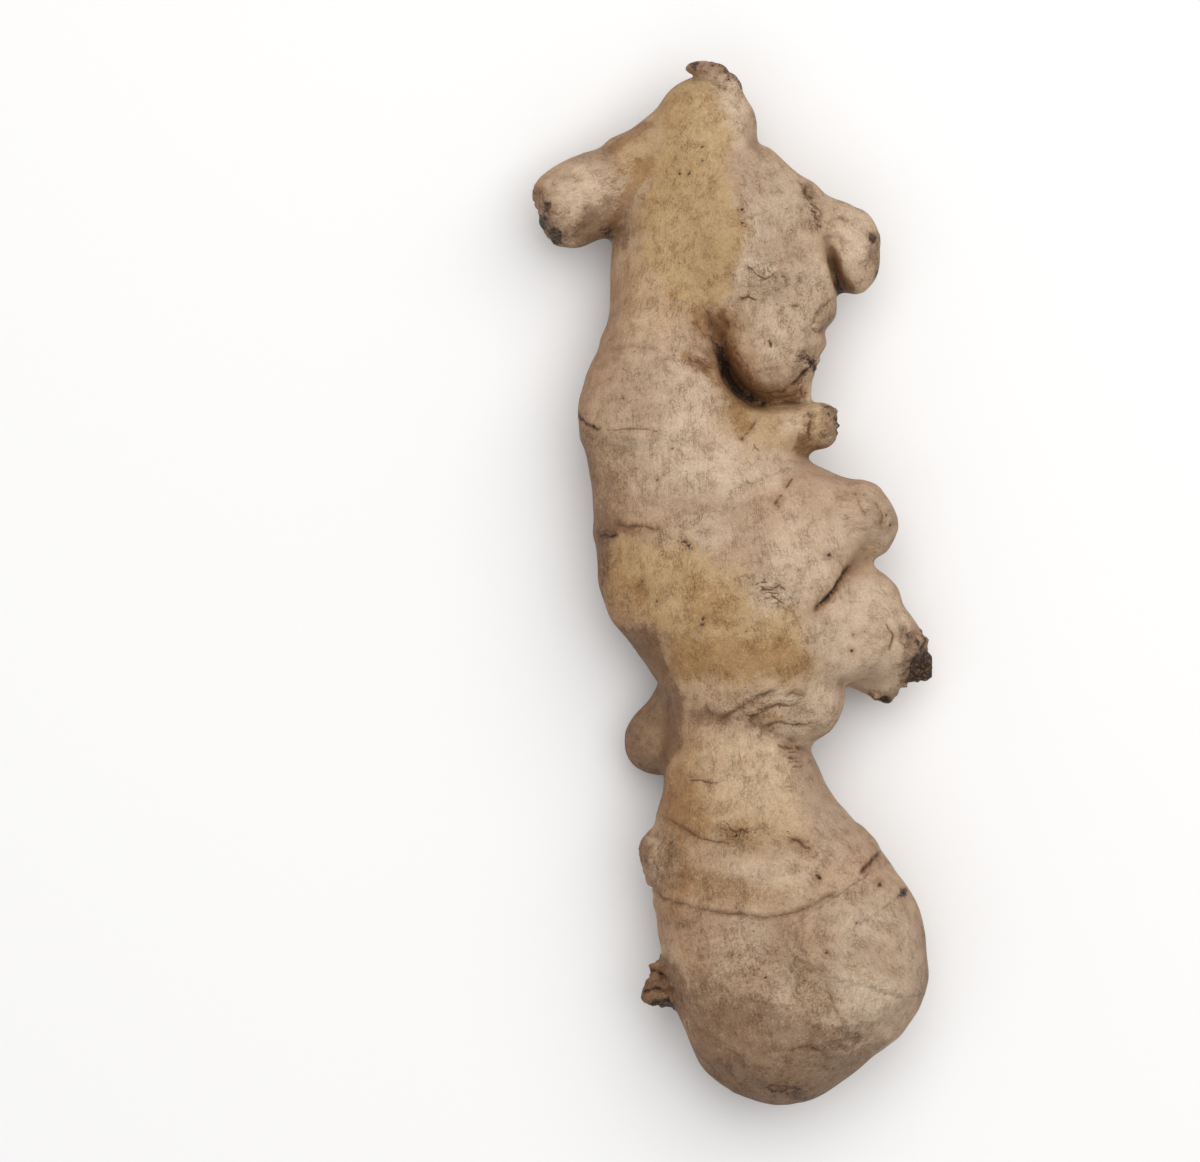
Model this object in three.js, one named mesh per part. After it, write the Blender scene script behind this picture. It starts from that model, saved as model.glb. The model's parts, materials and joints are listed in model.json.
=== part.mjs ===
// One plump ginger rhizome lying flat, as bought fresh: a long two-lobed finger at the top, a knobby
// middle and a broad bulb below, grown as one piece. Millimetres, +Z up. The rhizome is a smooth union
// of swelling limbs, ringed where its leaf scales grew, which is then turned into one closed mesh.
import * as THREE from "three";
import { ImprovedNoise } from "three/addons/math/ImprovedNoise.js";

// Driving dimensions
const LENGTH = 190;
const CELL = 1.5;
const TRIANGLES = 11400;
const FLOOR = 0;

// Skin relief
const RING_HEIGHT = 0.65;
const RING_SLOPE = 2.3;
const RING_LIP = 0.9;
const RING_WANDER = 1.6;
const LUMP_HEIGHT = 0.8;
const LUMP_SIZE = 13;
const PIT_HEIGHT = 0.3;
const PIT_SIZE = 5.2;

// A limb is a run of stations along its middle line: x, y, z, half width, and thickness over width.
// blend is the radius of the fillet where it grows out of the limbs before it, rings are the places
// of its leaf scale rings counted in stations, and broken is a plane that its snapped end stops at.
const LIMBS = [
  {
    name: "left trunk",
    blend: 0,
    rings: [4.5, 6.3, 8.25],
    stations: [
      [-4.8, 82.9, 15.5, 8.8, 1.0],
      [-6.5, 76, 13.5, 10.9, 1.0],
      [-9.5, 66, 11.2, 12, 0.99],
      [-11.5, 56, 11.8, 11.2, 1.0],
      [-13, 46, 13.5, 10, 1.1],
      [-13.5, 39, 14.5, 11.5, 1.08],
      [-13, 31, 15, 15, 0.98],
      [-12, 22, 14.6, 15, 0.99],
      [-11.5, 12, 13.8, 14, 1.01],
      [-11, 1.5, 14.6, 13.9, 1.0],
    ],
  },
  {
    name: "right body",
    blend: 9,
    rings: [],
    stations: [
      [-1, 25, 15, 9, 1.0],
      [4, 12, 16, 13, 1.0],
      [8, -1, 17, 14.6, 0.98],
      [4, -12, 16.5, 14, 1.0],
    ],
  },
  {
    name: "web between the upper lobes",
    blend: 4,
    rings: [],
    stations: [
      [-4.5, 74.5, 15, 7.4, 1.0],
      [-1.8, 69.5, 15.2, 9.4, 1.05],
      [-0.5, 62, 15.4, 10, 1.05],
      [-1, 54.5, 15, 8.6, 1.05],
    ],
  },
  {
    name: "floor of the cleft",
    blend: 3,
    rings: [],
    stations: [
      [-3, 52, 12, 8.4, 1.0],
      [1, 43, 9.4, 7.4, 1.0],
      [4.6, 34, 11, 8.4, 1.0],
    ],
  },
  {
    name: "left side of the top",
    blend: 1.5,
    rings: [],
    stations: [
      [-6.3, 84.4, 15.2, 7.9, 1.0],
      [-8, 77, 14, 9.4, 1.0],
    ],
  },
  {
    name: "neck",
    blend: 8,
    rings: [3.4, 4.35, 5.7],
    stations: [
      [-3.4, -8, 15.5, 12.8, 1.0],
      [-0.8, -17.5, 15.4, 11.6, 1.0],
      [0.3, -25.5, 15.2, 11.8, 1.0],
      [0.3, -32.6, 15.7, 12.7, 1.0],
      [1.2, -41, 16, 14.7, 0.97],
      [0, -51, 15.5, 14.2, 1.0],
      [0, -62, 14, 13.9, 1.04],
      [1.6, -73, 15, 13.2, 1.05],
      [7.2, -82.4, 15.5, 12.9, 1.05],
    ],
  },
  {
    name: "lower left corner of the bulb",
    blend: 3,
    rings: [],
    stations: [
      [1.4, -77, 14.5, 9.6, 1.05],
      [1, -83.6, 13.5, 8.2, 1.05],
    ],
  },
  {
    name: "lower right bulb",
    blend: 7,
    rings: [0.95],
    broken: { at: [23, -74, 32.9], facing: [0.24, -0.12, 0.96] },
    stations: [
      [7, -46, 16.5, 11, 1.05],
      [14.6, -55.5, 17, 13.4, 1.1],
      [19.8, -65.8, 17.3, 14.9, 1.17],
      [20.8, -70.8, 17, 14.8, 1.17],
      [14.8, -80.4, 16, 11.2, 1.1],
    ],
  },
  {
    name: "curled scale at the top",
    blend: 0.4,
    rings: [],
    stations: [
      [-0.4, 90.4, 17, 1.7, 1.6],
      [-2.8, 92.9, 17.2, 1.5, 2],
      [-5, 93.9, 17.4, 1.2, 2.2],
      [-8.6, 93.6, 17.2, 0.7, 2.2],
    ],
  },
  {
    name: "right lobe",
    blend: 4.5,
    rings: [2.3, 3.5],
    stations: [
      [4, 70.6, 15.5, 8.2, 1.05],
      [8.2, 64, 16, 9.6, 1.02],
      [9, 56, 16.8, 10.2, 1.0],
      [8.6, 50, 17.6, 10, 1.0],
      [6.6, 44.6, 18.6, 8.7, 1.02],
      [6.8, 41.2, 18.8, 7.8, 1.02],
    ],
  },
  {
    name: "lower corner of the right lobe",
    blend: 1.5,
    rings: [],
    stations: [
      [8, 42, 17.5, 6.6, 1.0],
      [9, 39, 17.2, 5.3, 1.0],
    ],
  },
  {
    name: "flap along the foot of the right lobe",
    blend: 0.9,
    rings: [],
    stations: [
      [4.2, 37.2, 17.6, 3.2, 1.1],
      [8.4, 36.4, 18, 3.2, 1.1],
      [11.2, 35.8, 17.6, 2.6, 1.2],
    ],
  },
  {
    name: "small bud by the right lobe",
    blend: 1.2,
    rings: [],
    stations: [
      [8.5, 71.5, 17, 3.6, 1.0],
      [12.6, 71, 17.4, 2.6, 1.0],
    ],
  },
  {
    name: "right knob",
    blend: 2.2,
    rings: [1.2],
    stations: [
      [13.5, 66, 16.5, 4.8, 1.1],
      [19.6, 62, 15.8, 6.2, 1.05],
      [21.2, 58.2, 14.6, 5.9, 1.05],
    ],
  },
  {
    name: "left knob",
    blend: 2.4,
    rings: [0.9, 2.2],
    broken: { at: [-35.9, 68.4, 13], facing: [-0.96, -0.26, 0.12] },
    stations: [
      [-13, 80, 14, 6, 1.1],
      [-20, 74.2, 13.5, 6.3, 1.1],
      [-25.5, 71, 13, 7.5, 1.05],
      [-29.7, 69.2, 13, 7.7, 1.02],
    ],
  },
  {
    name: "short middle finger",
    blend: 4,
    rings: [0.8, 2.6],
    broken: { at: [18.4, 28.6, 19], facing: [0.97, 0.05, 0.2] },
    stations: [
      [-4, 23.5, 16.5, 8, 1.0],
      [4, 26.3, 18.4, 5.8, 1.0],
      [10, 28, 19.2, 4.3, 1.0],
      [15.2, 28.4, 19.2, 4.1, 1.0],
    ],
  },
  {
    name: "nib on the tip of the middle finger",
    blend: 0.6,
    rings: [],
    stations: [
      [14.4, 30.2, 19.4, 2, 1.0],
      [17.2, 31.5, 19.8, 0.9, 1.0],
    ],
  },
  {
    name: "shoulder knob",
    blend: 3.5,
    rings: [1.2],
    stations: [
      [11, 13, 17, 7.8, 1.05],
      [21.8, 12.1, 16, 5.8, 1.1],
      [25.2, 11.1, 15.5, 4.8, 1.1],
      [24.9, 8.9, 15.2, 4.3, 1.1],
    ],
  },
  {
    name: "right branch",
    blend: 2.2,
    rings: [1.25, 2.5],
    broken: { at: [36.1, -15.5, 9], facing: [0.95, -0.25, 0.1] },
    stations: [
      [12, -5, 16, 10.5, 1.0],
      [21, -8, 14.6, 9.4, 1.05],
      [26, -10.4, 13, 7.9, 1.07],
      [30.2, -13.3, 12, 4.9, 1.05],
      [34.2, -15.6, 11.6, 2.8, 1.0],
    ],
  },
  {
    name: "saddle between the body and the right branch",
    blend: 5,
    rings: [],
    stations: [
      [12, -10.4, 21, 7.4, 1.0],
      [19.6, -10.8, 17.6, 6.4, 1.0],
      [25, -12, 15, 4.6, 1.0],
    ],
  },
  {
    name: "upper side of the right branch",
    blend: 2.6,
    rings: [],
    stations: [
      [17.5, -4, 15.5, 8, 1.0],
      [24.2, -3.6, 14, 5.6, 1.05],
    ],
  },
  {
    name: "bud on the right branch",
    blend: 1.6,
    rings: [],
    stations: [
      [22, -13.6, 12, 5.4, 1.0],
      [27.6, -19.4, 11.6, 3, 1.0],
    ],
  },
  {
    name: "torn point at the end of the right branch",
    blend: 0.5,
    rings: [],
    stations: [
      [33.4, -16, 11.6, 1.8, 1.0],
      [36, -17, 11.4, 0.7, 1.0],
    ],
  },
  {
    name: "neck lobe",
    blend: 1.4,
    rings: [],
    stations: [
      [5, -11, 17.5, 11, 1.0],
      [9.8, -18.4, 16.8, 9.5, 1.0],
      [11.6, -20.8, 16.4, 8.6, 1.0],
    ],
  },
  {
    name: "shaded lobe under the neck",
    blend: 2.0,
    rings: [1.0],
    stations: [
      [-7, -21, 10.5, 6.6, 1.0],
      [-13.6, -28.8, 8.5, 6, 1.05],
    ],
  },
  {
    name: "broken stub on the left",
    blend: 0.8,
    rings: [],
    broken: { at: [-17, -50, 14], facing: [-0.97, -0.1, 0.2] },
    stations: [
      [-7, -48.6, 15.6, 7.2, 1.05],
      [-12.2, -50.4, 15.6, 5.8, 1.15],
    ],
  },
  {
    name: "scaly bud on the left",
    blend: 1.2,
    rings: [0.7],
    stations: [
      [-8.5, -70, 14, 4.2, 1.1],
      [-13, -74.4, 13.5, 4, 1.1],
    ],
  },
];

// Deep clefts where two limbs grew against each other, as stations of the gap between them.
const CLEFTS = [
  {
    name: "fold between the top and the right lobe",
    stations: [
      [-1, 76.4, 26.4, 0.2, 3],
      [2, 78.8, 23, 0.5, 4],
      [4.8, 81, 17.5, 0.9, 5],
      [7, 82.6, 14, 1, 6],
    ],
  },
  {
    name: "cleft under the right lobe",
    stations: [
      [-5.8, 49.6, 25, 0.7, 5],
      [-3.3, 44.2, 22, 1.1, 5],
      [-2, 39.8, 21.5, 1.3, 5],
      [0, 35.8, 21.5, 1.3, 5],
      [4, 33, 22, 0.9, 5],
      [9.6, 32.8, 21.4, 0.4, 4],
      [15, 33.2, 19, 0.4, 4],
    ],
  },
  {
    name: "slit above the right branch",
    stations: [
      [14.6, -5.2, 31, 0.5, 3],
      [18.6, -0.6, 29, 0.9, 4],
      [22, 3.2, 23, 1.1, 5],
      [28.5, 3.6, 15, 1.1, 6],
    ],
  },
  {
    name: "dent low on the side of the right lobe",
    stations: [
      [13.6, 46.6, 25, 0.3, 3],
      [16.8, 46, 21, 1, 5],
      [19, 44.8, 14, 2.2, 5],
    ],
  },
  {
    name: "crease between the right lobe and its knob",
    stations: [
      [16.4, 62.4, 21.4, 0.4, 3],
      [17.4, 58.8, 20.4, 1, 4],
      [18.8, 54.8, 19, 1.2, 4],
      [20.8, 50.5, 17, 1.2, 4],
    ],
  },
  {
    name: "crease above the neck",
    stations: [
      [-8, -24.4, 24.5, 0.5, 3],
      [-2, -24.8, 27.6, 0.7, 3],
      [4, -26, 27.2, 0.7, 3],
      [9.2, -28.6, 24, 0.7, 3],
      [13, -30.8, 18.5, 0.6, 3],
    ],
  },
];

// Field
const STEPS_PER_STATION = 3;
const BOX_MARGIN = 6;
const FAR = 9;
const SNAPPED_EDGE = 0.7;
const RAGGED_HEIGHT = 0.7;
const RAGGED_SIZE = 3.4;
const WANDER_SIZE = 9;
const CLEFT_EDGE = 1.6;
const SLOPE_STEP = 0.05;
const noise = new ImprovedNoise();

// Mesh
const NEAR_CORNER = 0.08;
const SETTLE_ROUNDS = 4;
const SETTLE_PULL = 0.5;
const LEAST_SLOPE = 0.25;
const PARALLEL = 1e-4;
const LONG_EDGE_COST = 1e-3;
const SLIVER = 0.12;
const LARGEST_TURN = 0.5;
const FLOOR_SNAP = 0.12;

const { clamp } = THREE.MathUtils;

// A smooth random height at a place, between about -1 and 1.
function lumps(x, y, z, size) {
  return noise.noise(x / size + 31.7, y / size + 11.3, z / size + 5.1);
}

// Joins two distances with a fillet of the given radius.
function blendUnion(a, b, radius) {
  if (radius <= 0) return Math.min(a, b);
  const overlap = Math.max(radius - Math.abs(a - b), 0) / radius;
  return Math.min(a, b) - overlap * overlap * radius * 0.25;
}

// Turns a limb's stations into short tapering segments along a smooth curve.
function traceLimb(limb) {
  const last = limb.stations.length - 1;
  const middle = new THREE.CatmullRomCurve3(limb.stations.map(([x, y, z]) => new THREE.Vector3(x, y, z)));
  const girth = new THREE.CatmullRomCurve3(limb.stations.map((s) => new THREE.Vector3(s[3], s[4], 0)));
  const steps = last * STEPS_PER_STATION;
  const nodes = [];
  let along = 0;
  for (let i = 0; i <= steps; i += 1) {
    const point = middle.getPoint(i / steps);
    const size = girth.getPoint(i / steps);
    if (i > 0) along += point.distanceTo(nodes[i - 1].point);
    nodes.push({ point, half: size.x, flat: size.y, along });
  }
  const ringAlong = (limb.rings ?? []).map((place) => {
    const step = Math.min(place * STEPS_PER_STATION, steps - 0.001);
    const from = nodes[Math.floor(step)];
    const to = nodes[Math.floor(step) + 1];
    return THREE.MathUtils.lerp(from.along, to.along, step % 1);
  });
  const reach = Math.max(...nodes.map((n) => n.half * Math.max(1, n.flat))) + BOX_MARGIN;
  const box = new THREE.Box3().setFromPoints(nodes.map((n) => n.point)).expandByScalar(reach);
  return { ...limb, nodes, ringAlong, box };
}

// The distance to one limb, less than zero inside it.
function limbDistance(limb, x, y, z) {
  const { nodes } = limb;
  let best = Infinity;
  let bestAlong = 0;
  for (let i = 1; i < nodes.length; i += 1) {
    const from = nodes[i - 1];
    const to = nodes[i];
    const ax = to.point.x - from.point.x;
    const ay = to.point.y - from.point.y;
    const az = to.point.z - from.point.z;
    const px = x - from.point.x;
    const py = y - from.point.y;
    const pz = z - from.point.z;
    const t = clamp((px * ax + py * ay + pz * az) / (ax * ax + ay * ay + az * az), 0, 1);
    const flat = from.flat + (to.flat - from.flat) * t;
    const rise = (pz - az * t) / flat;
    const away = Math.hypot(px - ax * t, py - ay * t, rise) - (from.half + (to.half - from.half) * t);
    if (away < best) {
      best = away;
      bestAlong = from.along + (to.along - from.along) * t;
    }
  }
  const wander = RING_WANDER * lumps(x, y, z, WANDER_SIZE);
  for (const ring of limb.ringAlong) {
    const past = bestAlong + wander - ring;
    const off = past / (past < 0 ? RING_SLOPE : RING_LIP);
    best -= RING_HEIGHT * Math.exp(-off * off);
  }
  if (limb.broken) {
    const [fx, fy, fz] = limb.broken.facing;
    const [bx, by, bz] = limb.broken.at;
    const ragged = RAGGED_HEIGHT * lumps(x, y, z, RAGGED_SIZE);
    const past = (x - bx) * fx + (y - by) * fy + (z - bz) * fz + ragged;
    best = -blendUnion(-best, -past, SNAPPED_EDGE);
  }
  return best;
}

const limbs = LIMBS.map(traceLimb);
const clefts = CLEFTS.map(traceLimb);

// The distance to the whole rhizome with its lumpy skin, stopped at the flat spots it rests on.
function rhizome(x, y, z) {
  let distance = FAR;
  const point = new THREE.Vector3(x, y, z);
  for (const limb of limbs) {
    if (!limb.box.containsPoint(point)) continue;
    distance = blendUnion(distance, limbDistance(limb, x, y, z), limb.blend);
  }
  for (const cleft of clefts) {
    if (!cleft.box.containsPoint(point)) continue;
    distance = -blendUnion(-distance, limbDistance(cleft, x, y, z), CLEFT_EDGE);
  }
  distance -= LUMP_HEIGHT * lumps(x, y, z, LUMP_SIZE) + PIT_HEIGHT * lumps(y, z, x, PIT_SIZE);
  return Math.max(distance, FLOOR - z);
}

// The six tetrahedra of a cube, each numbered so that its corners turn the same way.
const TETRAHEDRA = [
  [0, 1, 3, 7],
  [0, 3, 2, 7],
  [0, 2, 6, 7],
  [0, 6, 4, 7],
  [0, 4, 5, 7],
  [0, 5, 1, 7],
];
const ONE_CORNER = [
  [0, 1, 2, 3],
  [1, 0, 3, 2],
  [2, 0, 1, 3],
  [3, 0, 2, 1],
];
const TWO_CORNERS = {
  3: [0, 1, 2, 3],
  5: [0, 2, 3, 1],
  9: [0, 3, 1, 2],
  6: [1, 2, 0, 3],
  10: [1, 3, 2, 0],
  12: [2, 3, 0, 1],
};

// Finds where a field crosses zero on a grid of tetrahedra, as one closed triangle mesh.
function polygonise(field, box, cell) {
  const size = box.getSize(new THREE.Vector3()).divideScalar(cell);
  const [nx, ny, nz] = [Math.ceil(size.x) + 1, Math.ceil(size.y) + 1, Math.ceil(size.z) + 1];
  const values = new Float64Array(nx * ny * nz);
  const cornerStep = [0, 1, nx, nx + 1, nx * ny, nx * ny + 1, nx * ny + nx, nx * ny + nx + 1];
  const place = (index) => [
    box.min.x + (index % nx) * cell,
    box.min.y + (Math.floor(index / nx) % ny) * cell,
    box.min.z + Math.floor(index / (nx * ny)) * cell,
  ];
  for (let i = 0; i < values.length; i += 1) values[i] = field(...place(i));

  const points = [];
  const triangles = [];
  const known = new Map();
  const crossing = (a, b) => {
    const low = Math.min(a, b);
    const high = Math.max(a, b);
    const key = low * 8 + cornerStep.indexOf(high - low);
    if (!known.has(key)) {
      const t = clamp(values[low] / (values[low] - values[high]), NEAR_CORNER, 1 - NEAR_CORNER);
      const from = place(low);
      const to = place(high);
      known.set(key, points.length);
      points.push(new THREE.Vector3(...from).lerp(new THREE.Vector3(...to), t));
    }
    return known.get(key);
  };

  for (let k = 0; k < nz - 1; k += 1) {
    for (let j = 0; j < ny - 1; j += 1) {
      for (let i = 0; i < nx - 1; i += 1) {
        const base = i + nx * (j + ny * k);
        for (const tetrahedron of TETRAHEDRA) {
          const corners = tetrahedron.map((c) => base + cornerStep[c]);
          const inside = corners.map((c) => values[c] < 0);
          const count = inside.filter(Boolean).length;
          if (count === 1 || count === 3) {
            const [a, b, c, d] = ONE_CORNER[inside.indexOf(count === 1)].map((n) => corners[n]);
            const face = [crossing(a, b), crossing(a, c), crossing(a, d)];
            triangles.push(count === 1 ? face : face.reverse());
          } else if (count === 2) {
            const mask = inside.reduce((sum, isIn, n) => sum + (isIn ? 1 << n : 0), 0);
            const [a, b, c, d] = TWO_CORNERS[mask].map((n) => corners[n]);
            const ring = [crossing(a, c), crossing(a, d), crossing(b, d), crossing(b, c)];
            triangles.push([ring[0], ring[1], ring[2]], [ring[0], ring[2], ring[3]]);
          }
        }
      }
    }
  }
  return { points, triangles };
}

// The way out of the surface at a point.
function outward(field, p) {
  const h = SLOPE_STEP;
  return new THREE.Vector3(
    field(p.x + h, p.y, p.z) - field(p.x - h, p.y, p.z),
    field(p.x, p.y + h, p.z) - field(p.x, p.y - h, p.z),
    field(p.x, p.y, p.z + h) - field(p.x, p.y, p.z - h),
  ).divideScalar(2 * h);
}

// Spreads the points evenly along the surface and sets each one back on it.
function settle(field, mesh, reach) {
  const around = mesh.points.map(() => new Set());
  for (const [a, b, c] of mesh.triangles) {
    around[a].add(b).add(c);
    around[b].add(a).add(c);
    around[c].add(a).add(b);
  }
  for (let round = 0; round < SETTLE_ROUNDS; round += 1) {
    mesh.points = mesh.points.map((point, i) => {
      const mean = new THREE.Vector3();
      for (const n of around[i]) mean.add(mesh.points[n]);
      mean.divideScalar(around[i].size);
      const moved = point.clone().lerp(mean, SETTLE_PULL);
      const way = outward(field, moved);
      const steep = Math.max(way.lengthSq(), LEAST_SLOPE);
      const back = clamp(field(moved.x, moved.y, moved.z) / steep, -reach, reach);
      return moved.addScaledVector(way, -back);
    });
  }
}

// The sum of squared distances to the planes met at a point, as ten numbers.
function planeSum(normal, offset, weight) {
  const { x, y, z } = normal;
  const d = offset;
  return [x * x, x * y, x * z, x * d, y * y, y * z, y * d, z * z, z * d, d * d].map((v) => v * weight);
}

function planeError(q, p) {
  const { x, y, z } = p;
  const squares = q[0] * x * x + q[4] * y * y + q[7] * z * z + q[9];
  return squares + 2 * (q[1] * x * y + q[2] * x * z + q[5] * y * z + q[3] * x + q[6] * y + q[8] * z);
}

// The point that lies nearest to all the planes of a sum, or none where they are nearly parallel.
function nearestPoint(q) {
  const m = new THREE.Matrix3(q[0], q[1], q[2], q[1], q[4], q[5], q[2], q[5], q[7]);
  const trace = q[0] + q[4] + q[7];
  if (Math.abs(m.determinant()) < PARALLEL * trace ** 3) return null;
  return new THREE.Vector3(-q[3], -q[6], -q[8]).applyMatrix3(m.invert());
}

// Merges short and flat edges, the least needed first, until the wanted number of triangles is left.
function thinOut(mesh, wanted) {
  const { points } = mesh;
  let { triangles } = mesh;
  const normalOf = (a, b, c) => b.clone().sub(a).cross(c.clone().sub(a));
  const sums = points.map(() => new Array(10).fill(0));
  for (const face of triangles) {
    const [a, b, c] = face.map((n) => points[n]);
    const normal = normalOf(a, b, c);
    const area = normal.length();
    normal.normalize();
    const sum = planeSum(normal, -normal.dot(a), area);
    for (const n of face) sum.forEach((v, i) => { sums[n][i] += v; });
  }

  while (triangles.length > wanted) {
    const facesAt = points.map(() => []);
    triangles.forEach((face, f) => face.forEach((n) => facesAt[n].push(f)));
    const edges = [];
    for (const face of triangles) {
      for (let n = 0; n < 3; n += 1) {
        const a = face[n];
        const b = face[(n + 1) % 3];
        if (a < b) {
          const sum = sums[a].map((v, i) => v + sums[b][i]);
          const middle = points[a].clone().lerp(points[b], 0.5);
          const length = points[a].distanceTo(points[b]);
          const best = nearestPoint(sum);
          const target = best && best.distanceTo(middle) < length ? best : middle;
          edges.push({ a, b, sum, target, cost: planeError(sum, target) + LONG_EDGE_COST * length ** 4 });
        }
      }
    }
    edges.sort((one, other) => one.cost - other.cost);

    const touched = new Set();
    const gone = new Set();
    let left = triangles.length;
    for (const { a, b, sum, target } of edges) {
      if (left <= wanted || touched.size > points.length / 2) break;
      if (touched.has(a) || touched.has(b)) continue;
      const ringA = new Set(facesAt[a].flatMap((f) => triangles[f]));
      const ringB = new Set(facesAt[b].flatMap((f) => triangles[f]));
      const shared = [...ringA].filter((n) => n !== a && n !== b && ringB.has(n));
      if (shared.length !== 2) continue;
      const around = [...facesAt[a], ...facesAt[b]];
      const kept = around.filter((f) => !(triangles[f].includes(a) && triangles[f].includes(b)));
      const turns = kept.some((f) => {
        const before = triangles[f].map((n) => points[n]);
        const after = triangles[f].map((n) => (n === a || n === b ? target : points[n]));
        const was = normalOf(...before).normalize();
        const is = normalOf(...after);
        const longest = Math.max(...after.map((p, n) => p.distanceTo(after[(n + 1) % 3])));
        return is.length() < SLIVER * longest * longest || was.dot(is.normalize()) < LARGEST_TURN;
      });
      if (turns) continue;
      points[a] = target;
      sums[a] = sum;
      for (const f of facesAt[b]) {
        if (triangles[f].includes(a)) gone.add(f);
        else triangles[f] = triangles[f].map((n) => (n === b ? a : n));
      }
      for (const n of [...ringA, ...ringB]) touched.add(n);
      left -= 2;
    }
    if (gone.size === 0) break;
    triangles = triangles.filter((_, f) => !gone.has(f));
  }
  const used = [...new Set(triangles.flat())];
  const numbering = new Map(used.map((old, n) => [old, n]));
  return {
    points: used.map((n) => points[n]),
    triangles: triangles.map((face) => face.map((n) => numbering.get(n))),
  };
}

// Sets the points near the floor exactly on it, so that the flat spots lie in one plane.
function flattenBase(mesh) {
  for (const point of mesh.points) {
    if (point.z < FLOOR + FLOOR_SNAP) point.z = FLOOR;
  }
}

// Scales the rhizome to its length and stands its box on the origin.
function centre(geometry) {
  geometry.computeBoundingBox();
  const box = geometry.boundingBox;
  const middle = box.getCenter(new THREE.Vector3());
  const scale = LENGTH / (box.max.y - box.min.y);
  geometry.translate(-middle.x, -middle.y, -box.min.z);
  geometry.scale(scale, scale, scale);
}

function growRhizome() {
  const box = new THREE.Box3(new THREE.Vector3(-42, -101, -3), new THREE.Vector3(42, 101, 42));
  const dense = polygonise(rhizome, box, CELL);
  settle(rhizome, dense, CELL * 0.4);
  const mesh = thinOut(dense, TRIANGLES);
  flattenBase(mesh);
  const geometry = new THREE.BufferGeometry();
  const coordinates = mesh.points.flatMap((p) => p.toArray());
  geometry.setAttribute("position", new THREE.Float32BufferAttribute(coordinates, 3));
  geometry.setIndex(mesh.triangles.flat());
  centre(geometry);
  geometry.computeVertexNormals();
  return geometry;
}

const skin = new THREE.MeshStandardMaterial({ color: 0xc6ab8a, roughness: 0.72, metalness: 0 });
const rhizomeMesh = new THREE.Mesh(growRhizome(), skin);
rhizomeMesh.name = "ginger_rhizome";

const part = new THREE.Group();
part.name = "ginger_root";
part.add(rhizomeMesh);

export default part;
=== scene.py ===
"""A plump ginger rhizome on a pale floor, seen from straight above. Lengths are in millimetres, in the
part's own frame, until a mesh or a light is made in metres."""
import json
import math

import bpy
import numpy as np
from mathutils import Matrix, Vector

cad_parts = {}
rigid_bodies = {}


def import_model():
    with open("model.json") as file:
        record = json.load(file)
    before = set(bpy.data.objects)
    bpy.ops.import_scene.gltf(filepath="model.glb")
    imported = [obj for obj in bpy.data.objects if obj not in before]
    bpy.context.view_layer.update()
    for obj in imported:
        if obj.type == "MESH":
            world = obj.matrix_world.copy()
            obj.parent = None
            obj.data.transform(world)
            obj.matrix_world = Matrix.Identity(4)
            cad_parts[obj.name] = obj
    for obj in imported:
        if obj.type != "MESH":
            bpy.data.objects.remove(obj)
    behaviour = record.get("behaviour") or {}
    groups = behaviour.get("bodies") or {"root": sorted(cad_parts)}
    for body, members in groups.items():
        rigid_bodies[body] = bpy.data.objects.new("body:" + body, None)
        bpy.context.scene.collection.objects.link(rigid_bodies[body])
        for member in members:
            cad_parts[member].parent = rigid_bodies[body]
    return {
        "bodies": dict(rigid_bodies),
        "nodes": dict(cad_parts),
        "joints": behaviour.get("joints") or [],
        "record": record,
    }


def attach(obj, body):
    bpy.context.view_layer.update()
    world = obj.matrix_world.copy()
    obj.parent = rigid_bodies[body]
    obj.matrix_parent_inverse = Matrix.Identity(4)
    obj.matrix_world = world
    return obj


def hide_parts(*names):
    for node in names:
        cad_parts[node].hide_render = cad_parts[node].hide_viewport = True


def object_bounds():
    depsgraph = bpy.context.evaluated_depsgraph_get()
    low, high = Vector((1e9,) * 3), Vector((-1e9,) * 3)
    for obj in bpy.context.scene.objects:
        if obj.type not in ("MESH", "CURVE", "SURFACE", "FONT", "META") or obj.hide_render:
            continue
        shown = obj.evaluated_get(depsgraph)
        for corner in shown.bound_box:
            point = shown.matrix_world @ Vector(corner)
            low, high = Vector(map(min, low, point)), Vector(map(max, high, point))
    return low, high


MM = 0.001
NODE = "ginger_rhizome"
BODY = "root"

# The camera looks straight down from here, and its view is this wide at half the rhizome's height
VIEW_WIDTH = 218.8
VIEW_CENTRE = (-24.2, 0.4)
VIEW_LEVEL = 15.0
CAMERA_HEIGHT = 1200.0
SENSOR = 36.0

# Mesh
VOXEL = 0.6
SMOOTH_ROUNDS = 5
WELD = 0.01

# Relief of the skin: height, size and seed of its swellings and of the wander of its cracks
SWELLINGS = [(0.3, 7.5, 21), (0.16, 3.4, 22)]
WANDER = [(0.3, 2.4, 5), (0.2, 1.1, 6)]
RAGGED_RIM = [(0.9, 4.2, 11), (0.8, 1.7, 12), (0.5, 0.8, 13)]
SWELL = 0.12
CRACK_REACH = 1.5
PLAIN_CRACK_WIDTH = 0.3
CRUMPLE_HEIGHT = 0.4
SHRED_HEIGHT = 1.5
PORE_DEPTH = 0.2
# Painted shade in the hollows and painted light on the ridges: rounds of smoothing that measure them, and
# the depths where the paint starts and is full
HOLLOW_ROUNDS = 8
HOLLOW_DEPTHS = (0.02, 0.3)

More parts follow.
